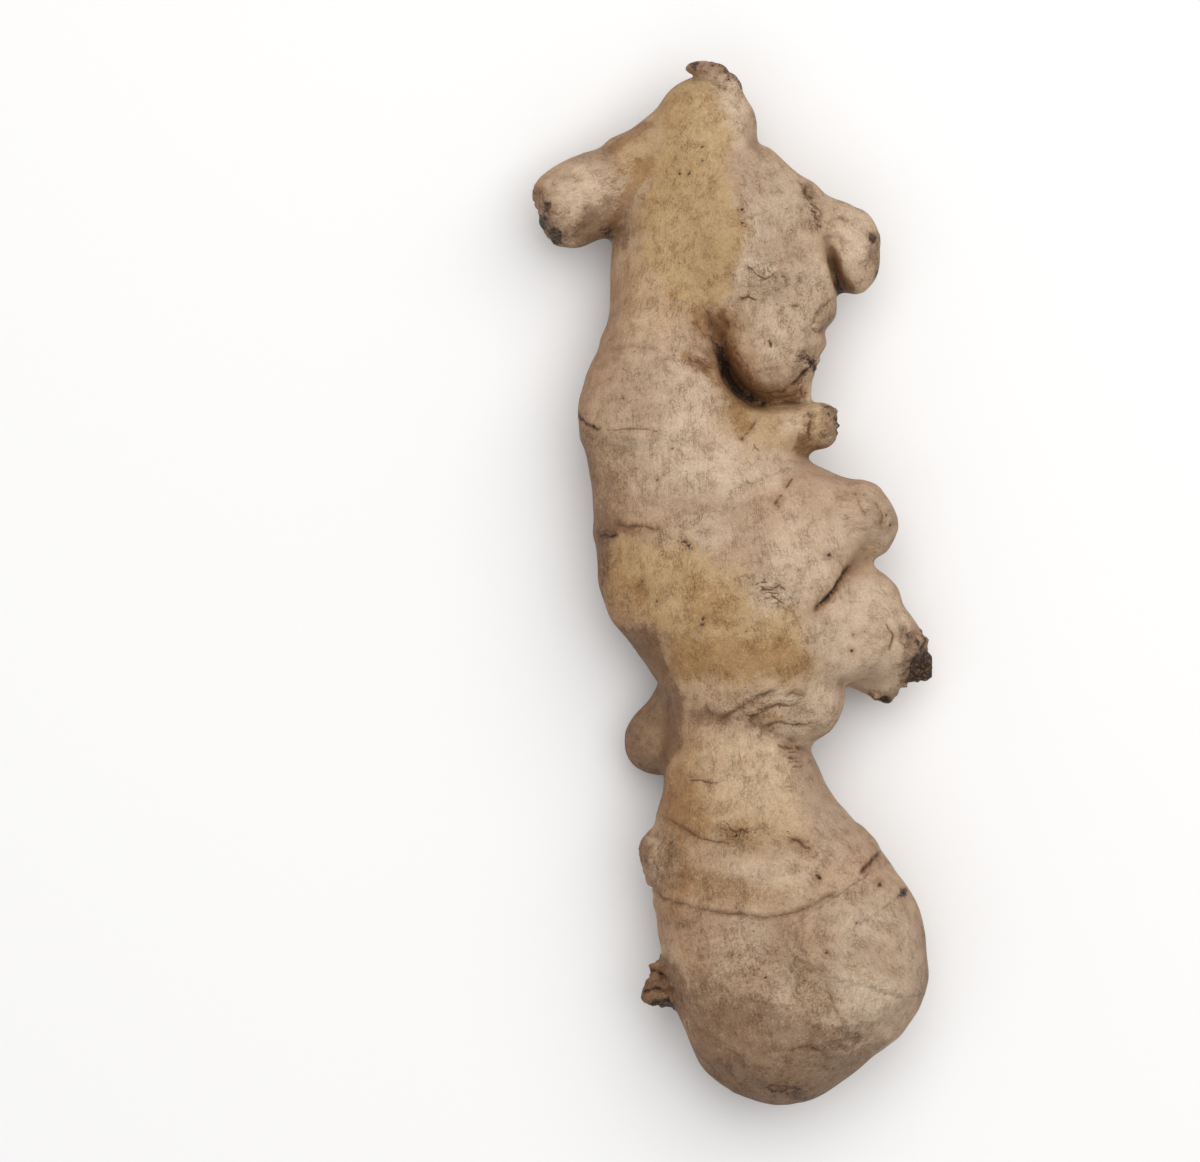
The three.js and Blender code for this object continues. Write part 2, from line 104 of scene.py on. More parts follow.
# Middle lines that the skin's fibres follow: x, y, z and half width
LIMBS = {
    "left trunk": [
        (-5, 84, 15, 9), (-9, 66, 12, 12), (-13, 44, 14, 10.5), (-13, 30, 15, 15), (-11, 2, 14, 14),
    ],
    "right lobe": [(3, 73, 15, 8), (8, 64, 16, 9.6), (9, 53, 17, 10), (6.2, 41.5, 19, 8.5)],
    "right knob": [(14, 66, 16, 4.6), (19.6, 62, 16.5, 6), (21.2, 58, 16, 5.8)],
    "left knob": [(-14, 79, 14, 6), (-21, 74, 13, 6.5), (-32, 69, 13, 7.7)],
    "middle finger": [(0, 25.5, 17, 7), (9, 28, 19, 4.5), (18, 28.5, 19, 4)],
    "right body": [(-2, 26, 15, 9), (5, 11, 16, 13), (8, -2, 17, 14.6), (10, -21, 16, 9)],
    "shoulder": [(10, 13, 17, 8), (26, 11, 15.5, 5)],
    "right branch": [(11, -4.5, 16, 10.5), (22, -8.4, 13, 9.2), (35.5, -16, 10.6, 3)],
    "shaded lobe": [(-7, -21, 10.5, 6.6), (-14, -29.5, 8.5, 6)],
    "neck": [(-1, -18, 15.4, 11.6), (1, -38, 16, 14.5), (0, -60, 14.4, 14), (7, -84, 15.5, 12.5)],
    "lower bulb": [(8, -47, 16.5, 11), (19, -64, 17.2, 15), (15, -81, 16, 12)],
    "stub": [(-7, -48, 14, 7), (-15, -50, 14.5, 5.7)],
    "scaly bud": [(-8.5, -70, 14, 4.2), (-14, -75.4, 13.5, 4)],
}

# Cracks and torn skin edges on the upper side, and lines of painted shadow in the cleft, as points to pass
# through, with the height of the lip, how dark the line is, how far it spreads as a stain, and how wide it
# is
CRACKS = [
    # Upper lobes
    ([(1.5, 57.5), (3.2, 56.9), (4.6, 55.6), (5.6, 55.1), (6.8, 55.6), (7.6, 56.4)], 0.3, 0.45, 0.15, 0.2),
    ([(0.6, 52.2), (1.8, 51.4), (2.6, 51.6), (3.6, 51), (4.6, 51.2)], 0.28, 0.5, 0.15, 0.2),
    ([(2.2, 54.2), (3.4, 53.4), (5.2, 53.6)], 0.22, 0.15, 0.1, 0.2),
    ([(10.8, 53.6), (11.6, 52.2), (13, 51.4)], 0.22, 0.25, 0.2, 0.2),
    ([(9.5, 50.6), (12, 49.8), (13, 48)], 0.2, 0.25, 0.2, 0.2),
    ([(6.4, 48.6), (8.6, 48.9), (10.2, 47.6)], 0.2, 0.15, 0.15, 0.2),
    ([(13.8, 46), (14.6, 48.2), (16, 50), (18, 51.4)], -0.34, 0.3, 0.25, 0.25),
    ([(13.8, 67.4), (14.8, 66.9)], 0.2, 0.7, 0.4, 0.25),
    ([(14.5, 66.2), (15.4, 65.7)], 0.2, 0.7, 0.4, 0.25),
    ([(14.9, 65.1), (16, 64.7)], 0.2, 0.6, 0.4, 0.25),
    ([(12.9, 72.2), (13.2, 70.6), (14.6, 69.9)], 0.25, 0.7, 0.5, 0.3),
    ([(12.7, 69.4), (14.6, 68.6), (15.8, 67.2), (16, 65)], 0.25, 0.3, 0.25, 0.25),
    ([(15.3, 62.9), (17.5, 63.1), (19.5, 62.6), (20.8, 61)], 0.25, 0.1, 0.1, 0.2),
    ([(11, 41.4), (12.6, 40.6), (14.6, 39.8)], 0.3, 0.6, 0.5, 0.25),
    ([(11.6, 42.4), (12.8, 41.8), (13.6, 40.6)], 0.2, 0.35, 0.3, 0.2),
    ([(10.6, 40.2), (12, 39.9), (13.6, 39.8)], 0.2, 0.35, 0.3, 0.2),
    ([(13, 46.4), (15, 45.4), (17, 46.6)], 0.2, 0.3, 0.3, 0.22),
    ([(14.4, 39.4), (12.8, 38.3), (11.6, 36.8), (10, 35.8)], 0.4, 0.85, 0.5, 0.28),
    ([(10.4, 36), (8.6, 35), (7, 34.6), (5.4, 34.4)], 0.3, 0.5, 0.4, 0.25),
    ([(12.6, 36.6), (12.2, 35), (12.8, 33.6)], 0.25, 0.35, 0.3, 0.25),
    ([(2.6, 37.4), (5, 38), (7.4, 38.9), (9.4, 38.6)], 0.2, 0.15, 0.2, 0.2),
    ([(6.2, 43.8), (6.5, 42.4)], 0.15, 0.7, 0.4, 0.3),
    ([(-9.3, 41.2), (-7.6, 40.2), (-6, 39.7), (-4.4, 38.8), (-3.4, 39)], 0.25, 0.4, 0.6, 0.22),
    ([(-7.4, 41.2), (-5.8, 40.4), (-4.2, 40.6)], 0.2, 0.3, 0.3, 0.2),
    ([(-8, 47.9), (-6.6, 47), (-5.2, 45.4), (-4.2, 43.8)], 0.15, 0.3, 0.4, 0.18),
    ([(-3, 49.4), (-2.6, 47.6), (-1, 46.8), (-0.6, 45.6)], 0.15, 0.3, 0.4, 0.18),
    ([(-0.2, 42.6), (1, 41.2), (1.6, 39.6)], 0.15, 0.3, 0.4, 0.2),
    ([(-1, 41), (0.4, 40), (1.4, 38.2)], 0.15, 0.35, 0.4, 0.2),
    ([(2, 37.6), (3.2, 36.6), (3.4, 35.6)], 0.15, 0.35, 0.4, 0.2),
    ([(-23.6, 42.6), (-21, 42.2), (-18, 43), (-14.5, 42.3), (-12, 41.1), (-9.5, 41)], 0.2, 0.12, 0.25, 0.3),
    ([(-5.9, 50.4), (-4.6, 48.9), (-3.8, 46.6), (-3.6, 44.4)], 0.1, 0.35, 0.4, 0.2),
    # The cleft between the lobe and the trunk, and the slot under the lobe: dark lines of painted shadow
    ([(-3.7, 44.2), (-2.4, 41.4), (-1.2, 38.2), (0.4, 35.6), (2.4, 33.7), (5.4, 32.8), (7.6, 32.9)],
     0.0, 1.0, 0.7, 0.9),
    ([(4, 33.4), (7, 32.6), (10, 32.7), (13.6, 33)], 0.1, 0.6, 0.6, 0.35),
    ([(3.6, 35.4), (6, 34.2), (9, 33.8), (11.4, 34.2)], 0.15, 0.35, 0.4, 0.2),
    # Middle
    ([(-28.6, 31.5), (-27.6, 29.9), (-26, 28.6), (-24.6, 27.7), (-23.6, 28)], 0.32, 0.85, 0.45, 0.25),
    ([(-24.2, 27.9), (-22, 27.6), (-20, 27.6), (-16.6, 27.8), (-12, 27.2)], 0.3, 0.28, 0.25, 0.2),
    ([(4.7, 30), (2.6, 27.5), (0.6, 25.3)], 0.2, 0.45, 0.45, 0.2),
    ([(3.4, 24.9), (4.6, 23.8)], 0.15, 0.35, 0.1, 0.18),
    ([(6.8, 14), (7.8, 15.2), (8.8, 16.4)], 0.15, 0.5, 0.45, 0.25),
    ([(9.2, 16.9), (10, 17.9), (10.9, 19.2)], 0.15, 0.5, 0.35, 0.22),
    ([(-22.6, 10.6), (-19.4, 10.4), (-16, 10), (-12.8, 9.4)], 0.25, 0.35, 0.5, 0.3),
    ([(-24.6, 8.8), (-22.6, 8.4), (-20.8, 8.9)], 0.3, 0.8, 0.6, 0.4),
    ([(-13.4, 27), (-11, 25.6), (-9.6, 25.8)], 0.12, 0.15, 0.1, 0.2),
    ([(4, -2.2), (5.2, -1), (6.8, -1.6), (8.2, -0.5), (9.8, -1.3)], 0.3, 0.5, 0.25, 0.22),
    ([(3.4, -0.4), (4.8, 0.2), (6.4, 0)], 0.25, 0.35, 0.2, 0.2),
    ([(5, -3), (7, -2.7), (9.2, -3.9)], 0.25, 0.4, 0.2, 0.2),
    ([(14.2, -5.6), (16.2, -3.2), (18.4, -0.6), (19.8, 1.6), (21.6, 3.8)], 0.4, 1.0, 0.9, 0.5),
    ([(4.7, -4.1), (9.8, -4.9), (11.6, -6.6), (12.3, -8.9), (13.6, -11.5),
      (15.7, -14.8)], -0.14, 0.14, 0.1, 0.2),
    ([(21.5, 17.2), (22.8, 14.4), (24, 11.6)], 0.25, 0.2, 0.2, 0.25),
    ([(25.4, 15.6), (26.8, 12.4), (26.4, 9.4)], 0.25, 0.25, 0.2, 0.25),
    ([(13.2, 31.6), (14, 29.8), (13.4, 27.6), (14.2, 25.6)], 0.2, 0.45, 0.35, 0.3),
    ([(27, -6.4), (28.6, -9.6), (28, -13)], 0.25, 0.3, 0.2, 0.3),
    # Neck
    ([(-4, -26), (-0.4, -23.2), (4, -20.6), (8.6, -18.8)], 0.45, 0.3, 0.4, 0.3),
    ([(1.6, -25.2), (5, -23), (8, -21.9), (12, -21.4)], 0.4, 0.45, 0.4, 0.3),
    ([(4.4, -26.2), (8.2, -25), (12.4, -25.6), (16, -25)], 0.3, 0.3, 0.3, 0.3),
    ([(7.4, -29), (10, -29.9), (12.9, -30.4)], 0.35, 0.5, 0.5, 0.25),
    ([(2.4, -21.4), (4.6, -22.6), (6.8, -22.2)], 0.4, 0.25, 0.3, 0.2),
    ([(0.4, -21.8), (2.2, -23.6), (4.6, -24)], 0.35, 0.25, 0.3, 0.2),
    ([(8.8, -20.4), (10.6, -19.6), (13, -20.2)], 0.3, 0.25, 0.3, 0.2),
    ([(9.6, -31.6), (11.4, -31.9)], 0.15, 0.5, 0.4, 0.25),
    ([(10.2, -33.4), (12.6, -33.3)], 0.15, 0.45, 0.4, 0.22),
    ([(-8.5, -36), (-6, -35.7), (-4.2, -36), (-2.4, -35.8)], 0.15, 0.5, 0.2, 0.2),
    ([(-13.6, -42.6), (-11.3, -43), (-9, -44.4), (-6.5, -45.8), (-3.2, -46.6),
      (0.1, -46.9)], 0.28, 0.35, 0.4, 0.22),
    ([(-1.6, -43.8), (0, -44.9), (1.6, -44.5), (2.8, -45.4)], 0.15, 0.5, 0.5, 0.3),
    ([(9.6, -46), (11.4, -46.4), (12.6, -47.6), (14.4, -48)], 0.15, 0.5, 0.45, 0.3),
    # Lower bulb
    (
        [(-16.6, -54.5), (-14.8, -55.2), (-12.6, -57), (-9.4, -57.9), (-6.5, -58.6), (-2, -59.5),
         (1.8, -59.8), (5.4, -60.2), (8.8, -60), (12.6, -58.6), (16, -56.4), (19.4, -55)],
        0.4, 0.2, 0.3, 0.2,
    ),
    ([(22.6, -52.8), (23.8, -51.4), (25.2, -50), (26.8, -48.4)], 0.3, 0.7, 0.6, 0.4),
    ([(30.8, -55.8), (29.2, -57)], 0.2, 0.3, 0.3, 0.3),
    ([(14.6, -52.4), (15.6, -53.2)], 0.1, 0.7, 0.3, 0.3),
    ([(16.4, -70), (16.6, -72.3), (18, -76.8), (19.4, -79.2)], 0.14, 0.2, 0.3, 0.25),
    ([(2, -86.6), (5, -88), (7.4, -87.6)], 0.2, 0.2, 0.15, 0.3),
    ([(-2, -84), (1.5, -86), (3, -88.6)], 0.2, 0.25, 0.15, 0.3),
    ([(9, -84.6), (13.4, -83.4), (16.8, -84.8)], 0.25, 0.35, 0.3, 0.3),
    ([(4.6, -91.4), (8.6, -91), (12.6, -91.8)], 0.2, 0.4, 0.3, 0.4),
    ([(-16.8, -71.4), (-14.4, -70.6), (-11.6, -71.6)], 0.3, 0.8, 0.5, 0.4),
    ([(-16.9, -74.8), (-14.4, -73.6), (-11.4, -74.6)], 0.3, 0.8, 0.5, 0.4),
]

# Stained places, some of which are painted shade, as corners, softness of the rim, raggedness and strength
STAINS = {
    "yellow": [
        ([(-13, 91), (-15, 85), (-13.6, 80), (-14.6, 74), (-16.6, 68), (-15.6, 60), (-12, 52), (-6, 48),
          (-2, 50),
          (0.4, 52.5), (0.6, 57), (2.4, 61), (3.2, 64.5), (0.9, 66.2), (-0.6, 70), (-1, 75), (-0.6, 80),
          (-1.4, 85),
          (-2.4, 90), (-6, 93)], 1.8, 1.0, 0.9),
        ([(-20, 80), (-14, 84), (-13, 76), (-17, 72), (-21, 75)], 2.0, 0.8, 0.6),
        ([(-20, 60), (-12, 60), (-8, 46), (-20, 45)], 3.5, 1.0, 0.35),
        ([(-24, 8.4), (-20, 9.2), (-14, 8), (-9, 6.6), (-3, 4), (3, 0.6), (4.7, -4.1), (9.8, -4.9),
          (11.6, -6.6),
          (12.3, -8.9), (13.6, -11.5), (15.7, -14.8), (13, -17.5), (5, -17.5), (-3, -18), (-12, -17),
          (-13, -11),
          (-18, -7), (-24, -4), (-26, 2)], 4.0, 1.8, 0.8),
        ([(-13, -28), (-4, -27), (6, -29), (10, -33), (12, -41), (14, -47), (4, -48.5), (-4, -47.6),
          (-9, -45),
          (-14, -43)], 3.0, 1.4, 0.5),
        ([(-12, -46), (-4, -48), (6, -50), (16, -50), (17, -55), (8, -59), (-4, -58),
          (-12, -56)], 3.0, 1.2, 0.2),
        ([(-2, 33), (5, 33), (16, 32), (18, 27), (13, 24), (3, 24), (-3, 28)], 2.0, 0.7, 0.55),
    ],
    "ochre": [
        ([(-16.5, 84.4), (-14.2, 84), (-13.7, 82.6), (-17, 81.6), (-19.5, 79.5), (-21.5, 77.6),
          (-22.8, 78.8),
          (-20, 81.8)], 1.0, 0.8, 0.8),
        ([(-16.5, 77.6), (-14.5, 77.6), (-14.8, 75.4), (-16.6, 72.8), (-18.6, 70.5), (-19.2, 66),
          (-21.2, 63),
          (-22.6, 65), (-21.4, 69), (-19, 73)], 1.1, 0.9, 0.85),
        ([(-12.9, 82), (-11.6, 83.3), (-10.5, 82.9), (-11.8, 81.6)], 0.5, 0.4, 0.6),
        ([(-1.6, 67.6), (1, 68.6), (3.2, 66.4), (3, 63.6), (-1, 63.8), (-2.4, 65.4)], 1.0, 0.5, 0.4),
        ([(-13, 53.4), (-9.5, 53.6), (-9, 51.2), (-12.8, 51)], 1.0, 0.5, 0.35),
        ([(-9, 50), (-4, 51), (0, 49), (2, 47), (0, 43), (-4, 44), (-8, 46)], 1.8, 0.8, 0.8),
        ([(-4, 44), (0, 43), (4, 39), (5, 36), (13, 36), (13, 33), (3, 33), (-2, 38)], 1.2, 0.8, 0.7),
        ([(-26, 4), (-22, 4), (-14, -6), (-13, -17), (-20, -14), (-26, -4)], 2.0, 1.0, 0.5),
        ([(-14, -36), (-10, -38), (-8, -46), (-8, -62), (-14, -62)], 1.6, 1.0, 0.5),
        ([(-29, 30), (-25, 29), (-24, 16), (-27, 10), (-30, 14)], 1.6, 1.0, 0.4),
        ([(-9.4, 41.5), (-7.4, 40.8), (-5.4, 39.7), (-3.4, 40), (-2.4, 37.6), (-1, 34.8), (1, 33),
          (4, 32.4),
          (1.6, 30.6), (-1, 33), (-3.4, 35.8), (-5.6, 38), (-8, 39.4)], 0.7, 0.6, 0.75),
        ([(-1.4, 32), (2.6, 31.4), (3.4, 28.4), (1.4, 25.2), (0.2, 26), (0, 28)], 0.7, 0.5, 0.7),
        ([(-20, 2), (-17, 1.6), (-15, -1), (-15.4, -3.4), (-18.6, -2)], 1.2, 0.6, 0.55),
        ([(-9, 2), (-3, 0.6), (0.6, -3.4), (-1, -8), (-7, -9.4), (-10, -5)], 2.0, 0.8, 0.6),
        ([(-13, -9), (-2, -10), (8, -9), (14.6, -14), (13, -17.5), (0, -17.5), (-12, -17)], 1.6, 0.8, 0.7),
        ([(-13.4, -30), (-9.4, -33), (-5.6, -38), (-3.6, -44), (-6, -46.6), (-10, -44),
          (-14, -42.6)], 1.2, 0.8, 0.6),
        ([(-2, -43.4), (2, -44), (4, -46.4), (1, -48), (-2.4, -47)], 1.0, 0.5, 0.5),
        ([(-9, -50), (0, -53), (10, -55), (8, -58.6), (-4, -58.4), (-11, -56)], 1.4, 0.7, 0.5),
        ([(9, -45.6), (14.6, -47), (15, -49.6), (10, -48.6)], 0.8, 0.5, 0.45),
        ([(11.6, 27), (15.6, 26), (16, 24.4), (13.4, 22.6), (11, 24.6)], 0.6, 0.4, 0.7),
        ([(1.6, 36.4), (8, 36), (12, 38), (13.6, 35.6), (13, 33.4), (4, 33.4)], 0.8, 0.4, 0.5),
        ([(8.6, 18.6), (11.4, 20), (8.6, 14), (6.4, 13)], 0.6, 0.4, 0.4),
        ([(2, -24), (9, -26.6), (9.4, -23.4), (4, -21.6)], 0.8, 0.5, 0.5),
    ],
    "brown_and_shade": [
        # Painted shade on the underside of the left knob
        ([(-26, 69.2), (-22, 70.6), (-19.6, 68), (-19.8, 62), (-24, 61.5), (-29, 61),
          (-30.4, 63.4)], 1.6, 1.2, 0.8),
        ([(-37.5, 73), (-34.6, 72.4), (-32.8, 69), (-31.6, 65.6), (-29, 63.4), (-30, 60),
          (-38, 62)], 0.8, 0.6, 0.5),
        ([(-28, 79.6), (-22, 79.6), (-22.6, 76.8), (-26, 75.4), (-30, 76.4)], 0.8, 0.6, 0.35),
        ([(-5, 49), (-2.6, 49.2), (-0.4, 47.8), (-0.8, 44.6), (-2.2, 42.6), (-4, 44), (-4.8, 46)],
         1.0, 0.9, 0.9),
        # Painted shade in the cleft between the lobe and the trunk, and in the slot below the lobe
        ([(-2, 44), (0, 43.4), (2, 40.4), (3.4, 37.6), (6, 35.4), (4, 33), (0, 34),
          (-3, 39)], 1.6, 0.8, 0.75),
        ([(4, 35), (8, 34.8), (13, 36), (13.6, 33), (5, 32.6)], 0.8, 0.8, 0.45),
        # Painted shade where the right knob tucks under the lobe
        ([(16.8, 61.8), (18.2, 61.2), (20, 58.6), (20.6, 56.2), (22.6, 54.6), (22.2, 51.6), (19, 51.4),
          (17.6, 57)], 0.5, 0.4, 0.95),
        ([(19.2, 66.9), (21, 65.8), (20.6, 64.9), (19, 65.8)], 0.4, 0.3, 0.5),
        ([(23.8, 63.8), (26.4, 63), (27.6, 55), (25.4, 55.2), (24.6, 60)], 0.6, 0.5, 0.6),
        ([(12.2, 72.8), (14.6, 73), (15.8, 70), (13, 69.6)], 0.5, 0.4, 0.65),
        ([(14.6, 45.6), (14, 48.5), (15.8, 50.5), (18.4, 52), (20.6, 50), (17, 45.4)], 0.3, 0.25, 0.4),
        # Brown skin and painted shade along the left edge
        ([(-28.6, 28.6), (-24.5, 27.4), (-20, 27.2), (-17.6, 25.4), (-17.4, 21), (-19, 16), (-19.4, 11.6),
          (-21, 9),
          (-26, 7), (-28.6, 14), (-29.4, 22)], 0.8, 0.8, 0.42),
        ([(-27.5, 15), (-23.4, 14), (-21.4, 11.4), (-22, 3), (-24, -3), (-28, -2)], 1.6, 1.2, 0.6),
        ([(-22.6, 11.6), (-17, 11), (-12.6, 10.2), (-13, 9), (-18, 9.4), (-22, 9.6)], 0.5, 0.5, 0.5),
        ([(16, 33), (20, 31.4), (20, 26), (16.8, 25.4), (15.6, 28)], 0.6, 0.5, 0.6),
        ([(11.4, 26.4), (14.6, 25.2), (17, 24.8), (13.4, 21.8), (10.6, 24)], 0.6, 0.4, 0.6),
        # Painted shade over the lobe that lies low under the body
        ([(-14, -7), (-24, -9), (-24, -36), (-12.6, -36), (-9.6, -29), (-8.4, -21),
          (-12, -16)], 0.8, 0.5, 0.9),
        ([(-9, -22), (-3, -22.4), (2, -25.4), (9, -28), (13.6, -30.6), (11, -28), (4, -25), (0, -24),
          (-3, -26), (-8, -26)], 0.6, 0.4, 0.6),
        ([(30, -8), (34, -8), (38, -16), (34, -20), (30.4, -17.6)], 1.0, 0.8, 0.6),
        ([(25, -19.4), (31, -19), (30.4, -23), (26, -23)], 0.8, 0.5, 0.6),
        # Brown skin that darkens towards the lower end of the bulb, partly painted shade
        ([(-9, -60), (2, -62), (12, -63), (16, -69), (17, -76), (20, -81), (17, -96),
          (-9, -96)], 2.4, 1.0, 0.42),
        ([(-9.4, -70), (-2, -74), (7, -77), (15, -79.4), (20, -81), (29, -84), (24, -96),
          (-8, -96)], 2.6, 1.4, 0.6),
        ([(-8, -83), (2, -86), (12, -87), (22, -84.6), (24, -96), (-8, -96)], 2.0, 1.2, 0.55),
        ([(-18, -68), (-12, -67.4), (-8.4, -72), (-9, -80), (-18, -80)], 0.6, 0.5, 0.75),
        ([(-18, -46), (-15.4, -46), (-15.6, -55), (-18, -56)], 0.8, 0.6, 0.5),
        ([(33.8, -62), (37, -62), (37, -80), (33, -84), (33.4, -72)], 1.0, 0.7, 0.45),
        ([(-7, 96), (-1, 95), (3, 91), (1, 90.6), (-2.2, 92.4), (-6, 93.4), (-10, 92.6)], 0.5, 0.5, 0.5),
    ],
    "grey": [
        ([(-28.8, 28), (-25, 27), (-24.4, 18), (-27, 12), (-29.4, 20)], 0.8, 0.5, 0.6),
        ([(-17.4, -46), (-12, -45.8), (-9.6, -48), (-9, -53), (-12, -56.6), (-16, -55)], 0.7, 0.5, 0.8),
        ([(0, 75), (4, 78), (12, 72), (14, 60), (12, 52), (4, 50), (1.4, 56), (4, 64)], 2.5, 1.0, 0.55),
        ([(14, -56), (22, -54), (34, -60), (34, -76), (26, -84), (20, -79.6), (17, -72)], 2.0, 0.8, 0.55),
        ([(10, -27), (16, -30), (20, -42), (24, -48), (16, -49), (12, -40)], 1.4, 0.8, 0.6),
        ([(24, 17), (31, 13), (29, 6), (24, 8), (22.6, 13)], 1.0, 0.5, 0.6),
        ([(12, -6), (16, -5), (20, -10), (17, -15), (14, -11)], 1.2, 0.6, 0.5),
        ([(-22, 40), (-12, 40), (-8, 30), (-16, 28), (-24, 30)], 2.5, 1.2, 0.4),
    ],
    "pale": [
        ([(-33, 75), (-29, 76.4), (-24, 75.2), (-22.4, 73), (-25, 69.6), (-29, 67), (-32.4, 69),
          (-33.6, 72)], 1.6, 0.8, 0.5),
        ([(16, 68), (19, 67.4), (23, 62.4), (24.4, 58), (22.8, 58), (19.6, 62.4),
          (16.4, 65)], 0.8, 0.5, 0.3),
        ([(1.4, 59), (5, 59.2), (8, 57.4), (7.4, 55.8), (4.4, 55.6), (2, 54.8), (4, 52), (0.8, 52),
          (-0.4, 55)], 0.6, 0.6, 0.75),
        ([(3, 45.6), (7, 46.4), (9.6, 43.6), (8.6, 40.4), (5, 40.6)], 1.2, 0.7, 0.4),
        ([(-12, 32), (-4, 30), (2, 22), (0, 16), (-8, 18), (-13, 26)], 3.0, 1.0, 0.45),
        ([(8.4, 30.8), (13, 31), (13, 27.4), (9, 26.8)], 0.8, 0.5, 0.6),
        ([(3, 0.8), (7, 0.6), (10.4, -1), (10.4, -3.4), (6, -4), (4, -2.4)], 0.5, 0.5, 0.75),
        ([(3.4, -20), (8, -19), (11, -20.6), (10, -23), (5, -23.6)], 0.6, 0.5, 0.6),
        ([(-7, -27), (2, -27.6), (8, -31), (12, -37), (12, -44), (4, -41), (-5, -38)], 1.8, 0.8, 0.25),
        ([(18, -6), (27, 2), (33, -6), (30, -17), (22, -19), (15, -16), (13, -8)], 2.5, 1.2, 0.5),
        ([(18.4, -68), (24, -69), (29.4, -72), (28.6, -78), (21, -79.4), (18.2, -75)], 1.0, 0.6, 0.5),
        ([(-2, -49), (8, -50.4), (12, -54), (6, -55), (-2, -52)], 1.2, 0.7, 0.45),
        ([(-3, 92), (1, 91), (3, 87), (1, 84), (-2, 87)], 1.2, 0.8, 0.5),
        ([(9, 12), (20, 12), (18, 5), (8, 4)], 3.0, 1.0, 0.4),
    ],
    "dark": [
        ([(-34.8, 69.6), (-33, 69.2), (-32.8, 67.6), (-34.4, 67.4)], 0.5, 0.5, 0.85),
        ([(-36.4, 67.4), (-34.6, 66.4), (-33.8, 64.8), (-35.8, 65)], 0.5, 0.5, 0.9),
        ([(-33.4, 64.8), (-31.4, 64.6), (-30.8, 62), (-33, 62.2)], 0.5, 0.5, 0.95),
        ([(-37, 73), (-35.8, 72.6), (-36, 70.8), (-37, 71)], 0.4, 0.4, 0.8),
        ([(-24, 64.6), (-21.6, 64.9), (-20.8, 62.6), (-23.6, 62)], 0.8, 0.6, 0.55),
        ([(-7.6, 94.4), (-6.2, 94.8), (-5.6, 94), (-7, 93.6)], 0.4, 0.4, 0.6),
        ([(-4.4, 95.4), (0.6, 92.8), (2.6, 90.4), (1.8, 90), (-0.4, 92), (-4.4, 94.4)], 0.6, 0.6, 0.45),
        # Painted shadow in the cleft between the lobe and the trunk
        ([(-3.8, 44.6), (-2.2, 42.8), (-0.8, 39.8), (0, 37.6), (2, 35.2), (5, 33.6), (6, 32.8), (3.4, 32.7),
          (0.4, 34.4), (-1.8, 37.6), (-3, 41)], 0.7, 0.4, 0.85),
        # Painted shadow where the right knob tucks under the lobe
        ([(18, 57.8), (19, 57), (20, 54.6), (20.8, 52.2), (19.2, 51.8), (18.2, 54.4)], 0.4, 0.3, 0.8),
        ([(24.6, 63.4), (25.8, 63), (25.6, 61.8), (24.6, 62)], 0.4, 0.3, 0.8),
        ([(26, 57), (27.4, 56.8), (27.4, 54.6), (26, 55)], 0.3, 0.3, 0.95),
        ([(13, 40.9), (14.8, 40.6), (15.2, 38.2), (14, 38.6), (13.4, 39.8)], 0.5, 0.5, 0.75),
        ([(-29.4, 32.4), (-28, 32), (-27.4, 29.8), (-29, 29.6)], 0.4, 0.4, 0.85),
        ([(18.2, 29.8), (20, 29.6), (20, 26.8), (18.4, 27.4)], 0.4, 0.4, 0.75),
        ([(16.8, 31.6), (18, 32.2), (18.4, 31.2), (17, 30.6)], 0.4, 0.5, 0.35),
        ([(32.6, -10), (34, -9.4), (38, -15), (37.4, -18), (33.6, -18.6), (31.6, -18.2), (32, -16),
          (32.6, -13.6)],
         0.9, 0.9, 0.85),
        ([(25.4, -21), (28.6, -20.4), (29.4, -23), (26, -23)], 0.7, 0.5, 0.7),
        ([(-17.6, -70), (-15.6, -69), (-14.6, -71), (-16.4, -73.4), (-18, -73)], 0.4, 0.4, 0.8),
        ([(-17.8, -75.4), (-15, -76.4), (-11, -75.6), (-10, -78.4), (-14, -79.6),
          (-18, -78)], 0.5, 0.5, 0.95),
        ([(6.4, -91.4), (9, -90.4), (12.4, -91.6), (12, -93.4), (7, -93.6)], 1.6, 1.3, 0.5),
        ([(29.6, -55), (31.4, -55.4), (31, -57.4), (29.6, -57)], 0.4, 0.3, 0.7),
        ([(34.6, -63.6), (36.6, -64), (37, -68), (35.4, -67.6)], 0.5, 0.5, 0.6),
    ],
}

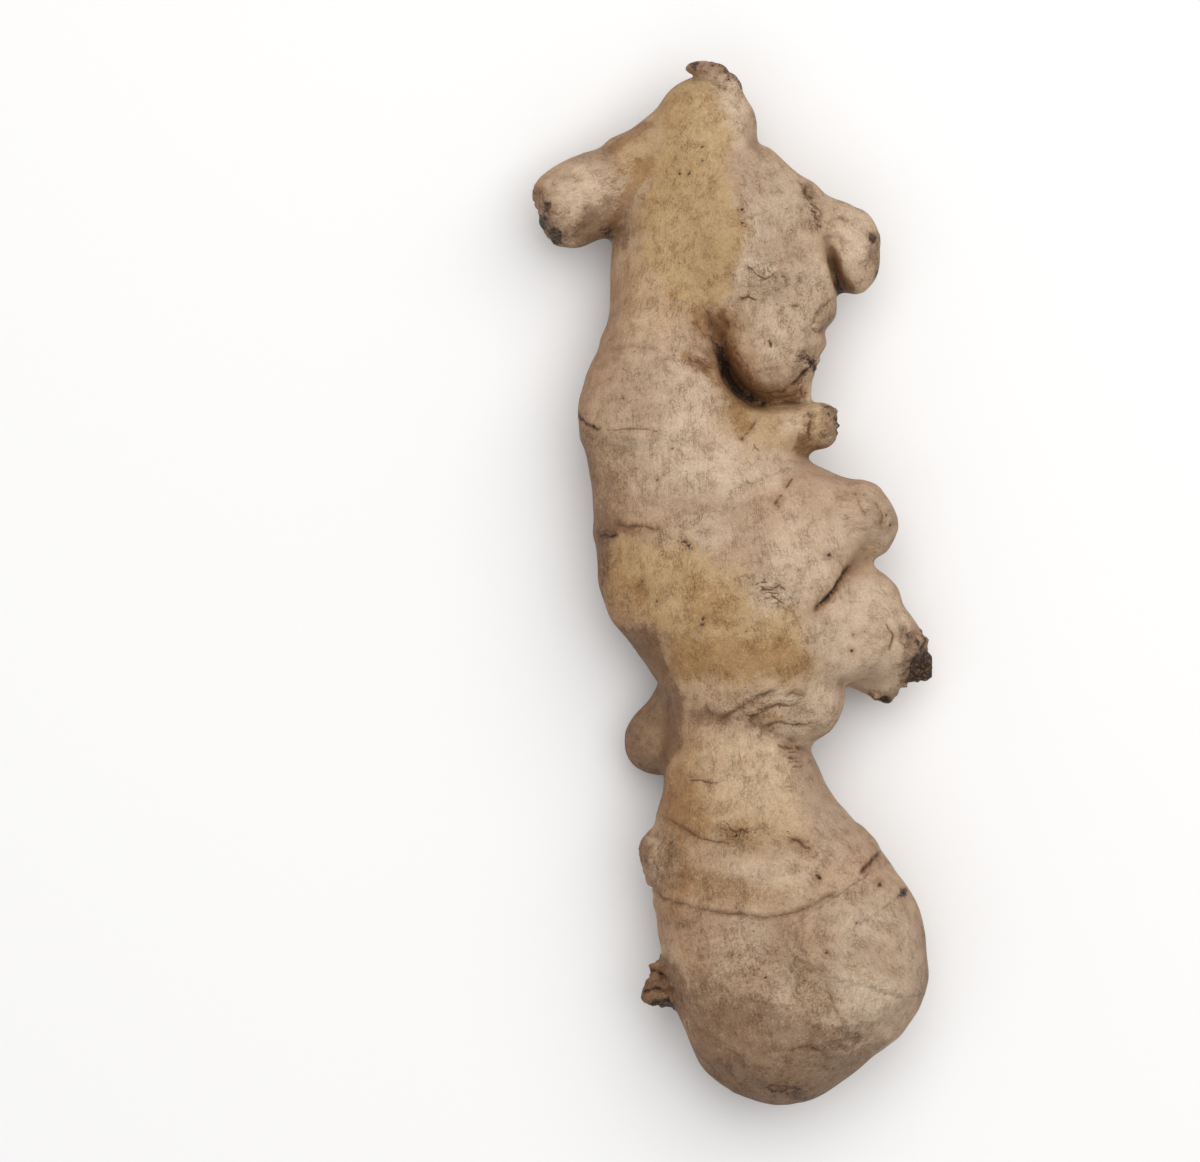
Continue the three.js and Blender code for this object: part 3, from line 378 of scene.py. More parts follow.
# Places where the skin is scurfy or crumpled, as corners, softness, raggedness and strength
ROUGH_PLACES = [
    ([(-1, 60), (8, 60), (12, 52), (6, 49), (0, 50)], 1.5, 1.0, 0.7),
    ([(8, 56), (17, 54), (18, 48), (13, 45), (8, 48)], 1.5, 1.0, 0.8),
    ([(10.6, 43), (15, 42.4), (15.6, 33.4), (9, 33.6), (9.6, 36)], 0.8, 0.6, 0.7),
    ([(2, 1.6), (10, 1), (11.6, -3.6), (4, -5)], 0.6, 0.5, 1.0),
    ([(-5, -22), (3, -18), (12, -18), (18, -22), (16, -29), (8, -28), (-3, -27)], 1.2, 0.7, 0.9),
    ([(-18, -45), (-11, -45), (-9, -49), (-9.6, -55), (-17, -57)], 0.8, 0.5, 1.0),
    ([(14, -79), (22, -78.6), (24, -84), (17, -88), (12, -84)], 1.0, 0.8, 1.0),
    ([(-6, -86), (20, -86), (18, -96), (-4, -96)], 2.0, 1.0, 0.8),
    ([(30, -7), (37, -10), (37, -19), (30, -19)], 0.8, 0.6, 1.0),
    ([(-27, 12), (-22, 10), (-20, 4), (-23, -4), (-28, -2)], 0.8, 0.6, 1.0),
    ([(-18, -67), (-9, -67), (-9, -80), (-18, -80)], 0.5, 0.5, 1.0),
    ([(-38, 74), (-32.6, 71), (-30, 61), (-38, 61)], 1.0, 0.8, 0.9),
    ([(-11, 96), (2, 96), (5, 88), (-2, 89), (-9, 92)], 0.8, 0.6, 0.8),
    ([(13, 33), (20, 33), (20, 24), (12, 23)], 0.8, 0.6, 0.8),
    ([(-4, -43), (4, -43), (16, -45), (16, -50), (2, -48), (-4, -48)], 0.8, 0.6, 0.7),
    ([(12, 74), (17, 73), (17, 64), (13, 64), (11, 69)], 0.6, 0.5, 0.8),
    ([(24, 64), (28, 64), (28, 54), (24.4, 54)], 0.6, 0.5, 0.8),
    ([(-10, 42), (-5, 41), (-2, 36), (2, 32), (2, 24), (-2, 30), (-8, 37)], 0.8, 0.6, 0.5),
    ([(-15, 12), (-4, 12), (-4, 4), (-13, 4)], 1.5, 0.8, 0.4),
    ([(4, -80), (12, -78), (14, -66), (6, -64)], 3.0, 1.0, 0.3),
]

# Places that are torn and shredded, on the sides too, as corners, softness, raggedness and strength
TORN_PLACES = [
    ([(31.4, -9), (35, -9), (38, -15), (37.6, -19), (30, -19.4), (31.6, -14)], 0.7, 0.6, 1.0),
    ([(25, -20.4), (29.6, -20.4), (29.6, -23.4), (25, -23.4)], 0.6, 0.4, 0.8),
    ([(17, 33), (20, 32), (20, 26), (17.6, 26)], 0.6, 0.5, 0.8),
    ([(-18, -67), (-13, -68), (-10.6, -74), (-10.4, -79), (-18, -80)], 0.6, 0.5, 0.9),
    ([(-38, 74), (-35.4, 73), (-33, 68), (-31, 62), (-38, 61)], 0.8, 0.5, 0.45),
    ([(-18.4, -46), (-14, -45.6), (-12, -50), (-13.4, -56.6), (-18, -56)], 0.8, 0.6, 0.6),
    ([(-10, 96), (-4, 96), (2, 92.4), (0, 91), (-8, 93.4)], 0.5, 0.4, 0.4),
    ([(12.6, 42.2), (16, 42), (16, 37), (13.4, 37.4)], 0.5, 0.4, 0.6),
    ([(1.4, -20.4), (9, -18.8), (11, -24), (3, -25.4)], 1.0, 0.8, 0.4),
    ([(16, -80), (21, -79), (23, -83), (18, -86)], 1.0, 0.8, 0.4),
]

# Single pores and spots: x, y and radius
PORES = [
    (1.4, 67.4, 0.4), (-0.5, 64.7, 0.35), (1.6, 65, 0.35), (1.9, 64.5, 0.3), (2.3, 64.3, 0.25),
    (-9.8, 74.2, 0.35),
    (-8.2, 74.2, 0.4), (-5.7, 79, 0.25), (-5.8, 76.4, 0.25), (-8.9, 7.4, 0.5), (-8.2, 6.9, 0.5),
    (-7.8, 6.2, 0.4),
    (-11.3, 24.2, 0.35), (-13.7, 18.6, 0.3), (17.1, 5.1, 0.5), (9.5, 2.9, 0.25), (-5.6, -6.4, 0.5),
    (-5.9, -7.5, 0.4),
    (21.6, -9.2, 0.35), (23.5, -8.5, 0.35), (21.2, -12.2, 0.4), (26.2, -54.4, 0.45), (10.2, 59.2, 0.25),
    (13.9, -1, 0.3), (2, -8.6, 0.25), (-17.2, -0.6, 0.3), (-16.8, 0.4, 0.25), (-4.6, -36, 0.35),
    (15.2, -52.9, 0.45),
    (12.6, -46.8, 0.35), (0.4, -45.4, 0.35), (-14, -3.4, 0.3), (4.4, 22.6, 0.25), (-26.4, 21, 0.25),
    (20.4, 11.8, 0.25),
    (27.6, 12.4, 0.3), (28.4, 10.6, 0.3), (-20, 33.4, 0.25), (16.6, -66.2, 0.3), (22, -61, 0.25),
    (5.6, -71, 0.3),
    (-5.4, 94.6, 0.3), (-3.8, 94, 0.3), (-2.4, 93, 0.35), (-1, 91.6, 0.25), (-1.6, 89.8, 0.25),
    (0.6, 88.6, 0.2),
]


def random_at(ix, iy, iz, seed):
    """A fixed random number between 0 and 1 for each lattice point."""
    n = ix.astype(np.uint32) * np.uint32(374761393) + iy.astype(np.uint32) * np.uint32(668265263)
    n = n + iz.astype(np.uint32) * np.uint32(2246822519) + np.uint32(seed * 3266489917 % 2**32)
    n = (n ^ (n >> np.uint32(13))) * np.uint32(1274126177)
    n = n ^ (n >> np.uint32(16))
    return n.astype(np.float64) / 2**32


def lumps(points, size, seed=1):
    """Smooth noise between about -1 and 1, whose lumps are size across."""
    cell = points / size
    low = np.floor(cell).astype(np.int64)
    part = cell - low
    ease = part * part * (3 - 2 * part)
    total = np.zeros(len(points))
    for dx in (0, 1):
        for dy in (0, 1):
            for dz in (0, 1):
                share = np.abs(1 - dx - ease[:, 0]) * np.abs(1 - dy - ease[:, 1])
                share = share * np.abs(1 - dz - ease[:, 2])
                total += share * random_at(low[:, 0] + dx, low[:, 1] + dy, low[:, 2] + dz, seed)
    return 2 * total - 1


def layered(points, layers):
    """The sum of several noises, given as height, size and seed."""
    return sum(height * lumps(points, size, seed) for height, size, seed in layers)


def ramp(values, start, end):
    """Rises smoothly from 0 at start to 1 at end."""
    t = np.clip((values - start) / (end - start), 0, 1)
    return t * t * (3 - 2 * t)


def bell(values, width):
    """1 at 0, and falling away to both sides."""
    return np.exp(-((values / width) ** 2))


# Noise that is worked out once for all stains
kept_noise = {}


def grown_mesh(node):
    """The node's solid with its facets smoothed away, as a fine even mesh."""
    mesh = node.data.copy()
    piece = bpy.data.objects.new("rhizome_skin", mesh)
    bpy.context.scene.collection.objects.link(piece)
    weld = piece.modifiers.new("weld", "WELD")
    weld.merge_threshold = WELD * MM
    rounded = piece.modifiers.new("rounded", "SUBSURF")
    rounded.levels = 2
    rounded.render_levels = 2
    voxels = piece.modifiers.new("voxels", "REMESH")
    voxels.mode = "VOXEL"
    voxels.voxel_size = VOXEL * MM
    soft = piece.modifiers.new("soft", "SMOOTH")
    soft.factor = 0.5
    soft.iterations = SMOOTH_ROUNDS
    graph = bpy.context.evaluated_depsgraph_get()
    fine = bpy.data.meshes.new_from_object(piece.evaluated_get(graph))
    piece.modifiers.clear()
    piece.data = fine
    bpy.data.meshes.remove(mesh)
    return piece


def mesh_points(mesh):
    values = np.empty(len(mesh.vertices) * 3)
    mesh.vertices.foreach_get("co", values)
    return values.reshape(-1, 3) / MM


def mesh_normals(mesh):
    values = np.empty(len(mesh.vertices) * 3)
    mesh.vertex_normals.foreach_get("vector", values)
    return values.reshape(-1, 3)


def fibre_frame(points):
    """For each point the place along its nearest limb, and across it both ways, and how clearly that
    limb is the nearest one."""
    best = np.full(len(points), np.inf)
    second = np.full(len(points), np.inf)
    frame = np.zeros((len(points), 3))
    for number, line in enumerate(LIMBS.values()):
        along = 40.0 * number
        limb_best = np.full(len(points), np.inf)
        limb_frame = np.zeros((len(points), 3))
        for start, end in zip(line[:-1], line[1:]):
            a = np.array(start[:3], float)
            b = np.array(end[:3], float)
            length = np.linalg.norm(b - a)
            way = (b - a) / length
            side = np.cross(way, (0, 0, 1))
            side /= np.linalg.norm(side)
            up = np.cross(side, way)
            offset = points - a
            t = np.clip(offset @ way / length, 0, 1)
            away = offset - np.outer(t * length, way)
            gap = np.linalg.norm(away, axis=1) - (start[3] + (end[3] - start[3]) * t)
            nearer = gap < limb_best
            limb_best = np.where(nearer, gap, limb_best)
            place = np.stack([along + offset @ way, offset @ side, offset @ up], axis=1)
            limb_frame[nearer] = place[nearer]
            along += length
        nearer = limb_best < best
        second = np.where(nearer, best, np.minimum(second, limb_best))
        best = np.where(nearer, limb_best, best)
        frame[nearer] = limb_frame[nearer]
    return frame, ramp(second - best, 0.2, 2.5)


def crack_line(points, corners):
    """Signed distance in plan from a line through the corners, and how much of it shows there."""
    corners = np.array(corners, float)
    best = np.full(len(points), np.inf)
    signed = np.zeros(len(points))
    ends = np.zeros(len(points))
    steps = np.linalg.norm(np.diff(corners, axis=0), axis=1)
    total = steps.sum()
    walked = 0.0
    for a, b, length in zip(corners[:-1], corners[1:], steps):
        way = (b - a) / length
        offset = points[:, :2] - a
        t = np.clip(offset @ way, 0, length)
        away = offset - np.outer(t, way)
        distance = np.linalg.norm(away, axis=1)
        side = np.sign(way[0] * offset[:, 1] - way[1] * offset[:, 0])
        nearer = distance < best
        best = np.where(nearer, distance, best)
        signed = np.where(nearer, distance * side, signed)
        reached = walked + offset @ way
        ends = np.where(nearer, np.minimum(reached, total - reached), ends)
        walked += length
    fade = min(2.5, total / 4)
    return signed, ramp(ends, -0.2, fade)


def patch(points, corners, softness, ragged):
    """How deep each point lies in plan inside a ragged many-cornered place, from 0 to 1."""
    corners = np.array(corners, float)
    gap = np.full(len(points), np.inf)
    inside = np.zeros(len(points), bool)
    x, y = points[:, 0], points[:, 1]
    for a, b in zip(corners, np.roll(corners, -1, axis=0)):
        way = b - a
        t = np.clip(((x - a[0]) * way[0] + (y - a[1]) * way[1]) / (way @ way), 0, 1)
        gap = np.minimum(gap, np.hypot(x - a[0] - way[0] * t, y - a[1] - way[1] * t))
        if a[1] != b[1]:
            crosses = (a[1] > y) != (b[1] > y)
            inside ^= crosses & (x < a[0] + (y - a[1]) / (b[1] - a[1]) * way[0])
    depth = np.where(inside, gap, -gap) + ragged * unevenness(points)
    return ramp(depth, -softness, softness)


def unevenness(points):
    """The noise that makes the rims of stains ragged, worked out once."""
    if "ragged" not in kept_noise:
        kept_noise["ragged"] = layered(points, RAGGED_RIM)
    return kept_noise["ragged"]


def stain_masks(points, up):
    """One mask between 0 and 1 for each kind of stain, one of which also carries painted shade on the
    undersides.
    """
    masks = {}
    for kind, places in STAINS.items():
        clear = np.ones(len(points))
        for corners, softness, ragged, strength in places:
            clear *= 1 - strength * patch(points, corners, softness, ragged)
        masks[kind] = (1 - clear) * ramp(up, -0.35, 0.1)
    # Painted shade: skin that faces down gets more of this mask, so the undersides darken
    masks["brown_and_shade"] = 1 - (1 - masks["brown_and_shade"]) * (1 - 0.5 * ramp(-up, 0.0, 0.8))
    return masks


def neighbour_mean(values, first, second, count):
    total = np.empty_like(values)
    for axis in range(values.shape[1]):
        total[:, axis] = np.bincount(first, values[second, axis], len(values))
        total[:, axis] += np.bincount(second, values[first, axis], len(values))
    return total / count[:, None]


def hollows(mesh, points, normals, rounds):
    """How far each point lies below the surface around it, in millimetres."""
    ends = np.empty(len(mesh.edges) * 2, np.int32)
    mesh.edges.foreach_get("vertices", ends)
    first, second = ends.reshape(-1, 2).T
    count = np.bincount(first, minlength=len(points)) + np.bincount(second, minlength=len(points))
    smooth = points
    for _ in range(rounds):
        smooth = neighbour_mean(smooth, first, second, count)
    return ((smooth - points) * normals).sum(axis=1)


def add_attribute(mesh, name, values):
    kind = "FLOAT_VECTOR" if values.ndim == 2 else "FLOAT"
    layer = mesh.attributes.new(name, kind, "POINT")
    field = "vector" if values.ndim == 2 else "value"
    layer.data.foreach_set(field, values.astype(np.float32).reshape(-1))


def crack_marks(points, top):
    """The height that the cracks add, and the masks for their lines and the stains round them."""
    jitter = layered(points, WANDER)
    line_width = np.full(len(points), PLAIN_CRACK_WIDTH)
    height = np.zeros(len(points))
    crack = np.full(len(points), CRACK_REACH)
    line = np.zeros(len(points))
    halo = np.zeros(len(points))
    for corners, lip, dark, spread, width in CRACKS:
        at, shows = crack_line(points, corners)
        shows = shows * top
        at = at + jitter
        height += shows * abs(lip) * (0.75 * bell(at * np.sign(lip) - 0.8, 0.7) - bell(at, max(width, 0.4)))
        halo = np.maximum(halo, spread * shows * bell(at, 1.1 + width))
        nearer = np.abs(at) < np.abs(crack)
        crack = np.where(nearer, at, crack)
        line = np.where(nearer, dark * shows * (1 - ramp(np.abs(at), 0.8, 1.3)), line)
        line_width = np.where(nearer, width, line_width)
    return height, {"line": line, "crack": crack / line_width, "halo": halo}


def deepest(points, places):
    """The strongest of several places at each point."""
    best = np.zeros(len(points))
    for corners, softness, ragged, strength in places:
        best = np.maximum(best, strength * patch(points, corners, softness, ragged))
    return best


def pore_marks(points, top):
    """Masks for the pores and for the stains round them."""
    pores = np.zeros(len(points))
    halo = np.zeros(len(points))
    for x, y, radius in PORES:
        near = np.hypot(points[:, 0] - x, points[:, 1] - y) / radius
        pores = np.maximum(pores, top * (1 - ramp(near, 0.2, 1.7)))
        halo = np.maximum(halo, 0.5 * top * (1 - ramp(near, 1, 3.4)))
    return pores, halo


def dress_skin(piece, low, high):
    """Raises the cracks, scurf and shreds of the skin inside the box, and paints its stain masks and the
    masks for painted shade and painted light.
    """
    mesh = piece.data
    points = mesh_points(mesh)
    normals = mesh_normals(mesh)
    up = normals[:, 2]
    top = ramp(up, 0.0, 0.35)

    height, marks = crack_marks(points, top)
    height += layered(points, SWELLINGS)
    rough = top * deepest(points, ROUGH_PLACES)
    crumple = np.abs(lumps(points, 2.1, 41)) + 0.6 * np.abs(lumps(points, 1.1, 42)) - 0.5
    height += rough * CRUMPLE_HEIGHT * crumple
    torn = deepest(points, TORN_PLACES)
    shreds = np.abs(lumps(points, 2.6, 43)) + 0.7 * np.abs(lumps(points, 1.3, 44)) - 0.55
    height += torn * ramp(up, -0.7, 0.0) * SHRED_HEIGHT * shreds
    pores, pore_halo = pore_marks(points, top)
    height -= PORE_DEPTH * pores

    masks = stain_masks(points, up)
    masks.update(marks)
    masks["halo"] = np.clip(np.maximum(marks["halo"], pore_halo), 0, 1)
    masks["rough"] = rough
    masks["pores"] = pores
    # Painted shade: skin that faces sideways is darkened
    masks["side"] = 1 - ramp(up, 0.05, 0.8)
    # Painted shade on the flanks that face left, away from the key light
    masks["left"] = ramp(-normals[:, 0], 0.1, 0.9) * ramp(up, -0.2, 0.3)
    depth = hollows(mesh, points + normals * height[:, None], normals, HOLLOW_ROUNDS)
    # Painted shade in the hollows and painted light on the ridges
    masks["hollow_shade"] = ramp(depth, *HOLLOW_DEPTHS)
    masks["ridge_light"] = ramp(-depth, *HOLLOW_DEPTHS)
    masks["fibre"], masks["clear"] = fibre_frame(points)
    for name, values in masks.items():
        add_attribute(mesh, name, values)

    moved = np.clip(points + normals * (height + SWELL)[:, None], low, high)
    mesh.vertices.foreach_set("co", (moved * MM).reshape(-1))
    mesh.polygons.foreach_set("use_smooth", np.ones(len(mesh.polygons), bool))
    mesh.update()


class Nodes:
    """Short calls for building a material's node tree."""

    def __init__(self, tree):
        self.tree = tree

    def add(self, kind, inputs=None, **settings):
        node = self.tree.nodes.new(kind)
        for name, value in settings.items():
            setattr(node, name, value)
        for name, value in (inputs or {}).items():
            self.feed(node.inputs[name], value)
        return node

    def feed(self, socket, value):
        if isinstance(value, bpy.types.NodeSocket):
            self.tree.links.new(value, socket)
        else:
            socket.default_value = value

    def attribute(self, name, output="Fac"):
        return self.add("ShaderNodeAttribute", attribute_name=name).outputs[output]

    def math(self, operation, a, b=0.0, c=0.0):
        node = self.add("ShaderNodeMath", operation=operation)
        for socket, value in zip(node.inputs, (a, b, c)):
            self.feed(socket, value)
        return node.outputs[0]

    def ramp(self, value, start, end, low=0.0, high=1.0):
        places = {"Value": value, "From Min": start, "From Max": end, "To Min": low, "To Max": high}
        return self.add("ShaderNodeMapRange", places, interpolation_type="SMOOTHSTEP").outputs[0]

    def bell(self, value, width):
        square = self.math("POWER", self.math("DIVIDE", self.math("ABSOLUTE", value), width), 2.0)
        return self.math("EXPONENT", self.math("MULTIPLY", square, -1.0))

    def mix(self, share, a, b, blend="MIX"):
        node = self.add("ShaderNodeMix", data_type="RGBA", blend_type=blend)
        self.feed(node.inputs["Factor"], share)
        self.feed(node.inputs["A"], a)
        self.feed(node.inputs["B"], b)
        return node.outputs["Result"]

    def noise(self, place, scale, detail=2.0, roughness=0.5, distortion=0.0):
        inputs = {"Vector": place, "Scale": scale, "Detail": detail}
        inputs.update({"Roughness": roughness, "Distortion": distortion})
        return self.add("ShaderNodeTexNoise", inputs).outputs["Fac"]

    def stretched(self, place, scale):
        return self.add("ShaderNodeVectorMath", {0: place, 1: scale}, operation="MULTIPLY").outputs[0]


# Skin colours, as linear light
PINK_TAN = (0.43, 0.302, 0.203, 1)
PALE_TAN = (0.51, 0.388, 0.277, 1)
YELLOW_TAN = (0.43, 0.292, 0.135, 1)
OCHRE = (0.27, 0.135, 0.04, 1)
BROWN = (0.14, 0.068, 0.028, 1)
RUST = (0.2, 0.09, 0.033, 1)
GREY_TAN = (0.36, 0.27, 0.2, 1)
PAPER = (0.63, 0.51, 0.385, 1)
DARK = (0.016, 0.0095, 0.006, 1)

# What the colour is multiplied by where the grain and fibres darken or lighten it, where the ridges get
# painted light, and as painted shade at the sides and on the flanks that face left
SHADE = (0.85, 0.745, 0.63, 1)
LIGHT = (1.14, 1.15, 1.15, 1)
SIDE_SHADE = (0.84, 0.75, 0.66, 1)
LEFT_FLANK_SHADE = (1.02, 0.93, 0.82, 1)


# How the stains cover the skin: name, colour, and how much of it shows in the weak and in the strong mottles
PLAIN_STAINS = [("yellow", YELLOW_TAN, 0.75, 1.0), ("grey", GREY_TAN, 0.5, 0.9), ("pale", PAPER, 0.35, 0.9)]
FRAYED_STAINS = [("ochre", OCHRE), ("brown_and_shade", BROWN)]
SOFT_SHARE = 0.6
FRAYED_SHARE = 0.4

# How the patterns tint the skin: the pattern, its value where the tint starts and where it is full, how
# strong the tint is there, and its colour
FIBRE_TINTS = [
    ("blotch", 0.48, 0.68, 0.45, SHADE),
    ("blotch", 0.5, 0.34, 0.5, LIGHT),
    ("long fibres", 0.0, 0.2, 0.6, SHADE),
    ("long fibres", 0.0, -0.2, 0.6, LIGHT),
    ("thin fibres", 0.03, 0.24, 0.45, SHADE),
    ("thin fibres", -0.03, -0.24, 0.4, LIGHT),
]
GRAIN_TINTS = [
    ("grain", 0.5, 0.7, 1.0, SHADE),
    ("grain", 0.5, 0.3, 1.0, LIGHT),
    ("fine grain", 0.48, 0.72, 0.9, SHADE),
    ("fine grain", 0.48, 0.28, 0.6, LIGHT),
]


class Skin:
    """Thin papery skin: pale tan, with stains, fine fibres, grain, dark scars and pores, and painted shade
    and painted light on its sides, hollows, ridges and cleft.
    """

    def __init__(self, n):
        self.n = n
        place = n.add("ShaderNodeTexCoord").outputs["Object"]
        self.place = n.stretched(place, (1 / MM, 1 / MM, 1 / MM))
        self.clear = n.attribute("clear")
        self.rough = n.attribute("rough")
        self.patterns = {
            "broad": n.noise(self.place, 0.09, 3),
            "blotch": n.noise(self.place, 0.35, 4, 0.6),
            "mottle": n.noise(self.place, 0.9, 4, 0.7),
            "grain": n.noise(self.place, 2.3, 4, 0.8),
            "fine grain": n.noise(self.place, 5.0, 2, 0.8),
            "long fibres": n.math("MULTIPLY", self.fibres((0.22, 1.3, 1.3), 3, 1.2), self.clear),
            "thin fibres": n.math("MULTIPLY", self.fibres((1.1, 4.5, 4.5), 2, 1.2), self.clear),
        }
        self.wrinkles = self.make_wrinkles()
        self.creases = self.make_creases()
        self.line, self.rim = self.crack_marks()
        self.scab_and_shadow = self.frayed("dark", 1.7, 0.12)
        flakes = n.ramp(n.noise(self.place, 1.1, 4, 0.8, 1.2), 0.47, 0.56)
        self.flaked = n.math("MULTIPLY", self.scab_and_shadow, flakes)
        self.scaly = n.math("MULTIPLY", self.flaked, self.rough)

    def fibres(self, stretch, detail, twist):
        """Noise drawn out along the limbs, around 0."""
        fibre = self.n.attribute("fibre", "Vector")
        pattern = self.n.noise(self.n.stretched(fibre, stretch), 1.0, detail, 0.68, twist)
        return self.n.math("SUBTRACT", pattern, 0.5)

    def make_wrinkles(self):
        n = self.n
        pattern = self.fibres((0.3, 0.9, 0.9), 3, 1.6)
        thin = n.math("MULTIPLY", n.ramp(n.math("ABSOLUTE", pattern), 0.03, 0.0), self.clear)
        return n.math("MULTIPLY", thin, n.ramp(self.patterns["blotch"], 0.42, 0.6, 0.15, 0.9))

    def make_creases(self):
        n = self.n
        pattern = n.math("SUBTRACT", n.noise(self.place, 0.42, 3, 0.75, 1.5), 0.5)
        thin = n.ramp(n.math("ABSOLUTE", pattern), 0.02, 0.0)
        thin = n.math("MULTIPLY", thin, n.ramp(self.patterns["blotch"], 0.5, 0.62))
        return n.math("MULTIPLY", thin, n.math("MULTIPLY_ADD", self.rough, 0.9, 0.22))

    def crack_marks(self):
        """The dark middle and the wider rim of the cracks."""
        n = self.n
        away = n.math("MULTIPLY_ADD", self.around("grain"), 2.2, n.attribute("crack"))
        broken = n.ramp(self.patterns["mottle"], 0.38, 0.56, 0.3, 1.0)
        strength = n.attribute("line")
        line = n.math("MULTIPLY", n.math("MULTIPLY", n.bell(away, 0.75), strength), broken)
        return line, n.math("MULTIPLY", n.bell(away, 1.8), strength)

    def around(self, pattern):
        """A pattern shifted from around a half to around 0."""
        return self.n.math("SUBTRACT", self.patterns[pattern], 0.5)

    def share(self, name, low, high):
        """A mask that is weaker in some mottles than in others."""
        mottled = self.n.ramp(self.patterns["mottle"], 0.3, 0.62, low, high)
        return self.n.math("MULTIPLY", self.n.attribute(name), mottled)

    def frayed(self, name, reach, sharp):
        """A mask whose rim is broken up by the grain instead of fading away."""
        edge = self.n.math("MULTIPLY_ADD", self.around("mottle"), reach, self.n.attribute(name))
        edge = self.n.math("MULTIPLY_ADD", self.around("grain"), reach, edge)
        return self.n.ramp(edge, 0.5 - sharp, 0.5 + sharp)

    def tinted(self, colour, amount, tint):
        return self.n.mix(amount, colour, tint, "MULTIPLY")

    def patterned(self, colour, tints):
        for pattern, start, full, strength, tint in tints:
            amount = self.n.ramp(self.patterns[pattern], start, full, 0.0, strength)
            colour = self.tinted(colour, amount, tint)
        return colour

    def stained(self):
        n = self.n
        colour = n.mix(n.ramp(self.patterns["broad"], 0.38, 0.62), PINK_TAN, PALE_TAN)
        for name, stain, low, high in PLAIN_STAINS:
            colour = n.mix(self.share(name, low, high), colour, stain)
        for name, stain in FRAYED_STAINS:
            colour = n.mix(n.math("MULTIPLY", self.share(name, 0.6, 1.0), SOFT_SHARE), colour, stain)
            colour = n.mix(n.math("MULTIPLY", self.frayed(name, 1.4, 0.2), FRAYED_SHARE), colour, stain)
        return n.mix(self.share("halo", 0.35, 0.85), colour, RUST)

    def grained(self, colour):
        n = self.n
        colour = self.patterned(colour, FIBRE_TINTS)
        colour = self.tinted(colour, n.math("MULTIPLY", self.wrinkles, 0.7), SHADE)
        colour = n.mix(n.math("MULTIPLY", self.creases, 0.75), colour, RUST)
        colour = self.patterned(colour, GRAIN_TINTS)
        freckles = n.ramp(self.patterns["grain"], 0.55, 0.63)
        freckles = n.math("MULTIPLY", freckles, n.ramp(self.patterns["mottle"], 0.5, 0.56))
        freckles = n.math("MULTIPLY", freckles, n.math("MULTIPLY_ADD", self.rough, 0.9, 0.12))
        return n.mix(freckles, colour, RUST)

    # Painted shade at the sides, on the flanks that face left and in the hollows, and painted light on the
    # ridges
    def shaded(self, colour):
        n = self.n
        # Painted shade on the sideways-facing skin
        colour = self.tinted(colour, n.attribute("side"), SIDE_SHADE)
        # Painted shade, darker and warmer, on the flanks that face left
        colour = self.tinted(colour, n.attribute("left"), LEFT_FLANK_SHADE)
        # Painted shade in the hollows and painted light on the ridges
        colour = n.mix(n.math("MULTIPLY", n.attribute("hollow_shade"), 0.5), colour, BROWN)
        return self.tinted(colour, n.math("MULTIPLY", n.attribute("ridge_light"), 0.7), LIGHT)

    def scarred_and_shadowed(self, colour):
        n = self.n
        colour = n.mix(n.ramp(self.rim, 0.1, 1.0, 0.0, 0.7), colour, RUST)
        colour = n.mix(n.ramp(self.line, 0.0, 0.35, 0.0, 0.8), colour, BROWN)
        colour = n.mix(n.ramp(self.line, 0.3, 0.8, 0.0, 0.95), colour, DARK)
        # The dark mask holds scars, and also painted shadow in the cleft and where the right knob tucks
        # under the lobe
        colour = n.mix(n.math("MULTIPLY", n.ramp(n.attribute("dark"), 0.05, 0.8), 0.75), colour, BROWN)
        colour = n.mix(n.math("MULTIPLY", self.scab_and_shadow, 0.9), colour, DARK)
        colour = n.mix(n.math("MULTIPLY", self.scaly, 0.75), colour, RUST)
        crusts = n.ramp(n.noise(self.place, 2.6, 3, 0.8, 0.6), 0.48, 0.58)
        specks = n.math("MULTIPLY", self.flaked, crusts)
        colour = n.mix(n.math("MULTIPLY", specks, n.math("MULTIPLY", self.rough, 0.5)), colour, GREY_TAN)
        spot = n.math("MULTIPLY_ADD", self.around("grain"), 1.2, n.attribute("pores"))
        return n.mix(n.ramp(spot, 0.4, 0.8, 0.0, 0.85), colour, DARK)

    def relief(self):
        """Fine height for the bump, in millimetres."""
        n = self.n
        crumple = n.math("ABSOLUTE", n.math("SUBTRACT", n.noise(self.place, 0.8, 4, 0.7), 0.5))
        layers = [
            (self.patterns["grain"], 0.12),
            (self.patterns["long fibres"], 0.14),
            (self.patterns["thin fibres"], 0.07),
            (self.patterns["mottle"], 0.12),
            (self.line, -0.3),
            (self.wrinkles, -0.09),
            (self.creases, -0.2),
            (self.scaly, 0.4),
            (n.math("MULTIPLY", self.rough, crumple), 1.1),
        ]
        height = n.math("MULTIPLY", self.patterns["fine grain"], 0.045)
        for layer, amount in layers:
            height = n.math("MULTIPLY_ADD", layer, amount, height)
        return height


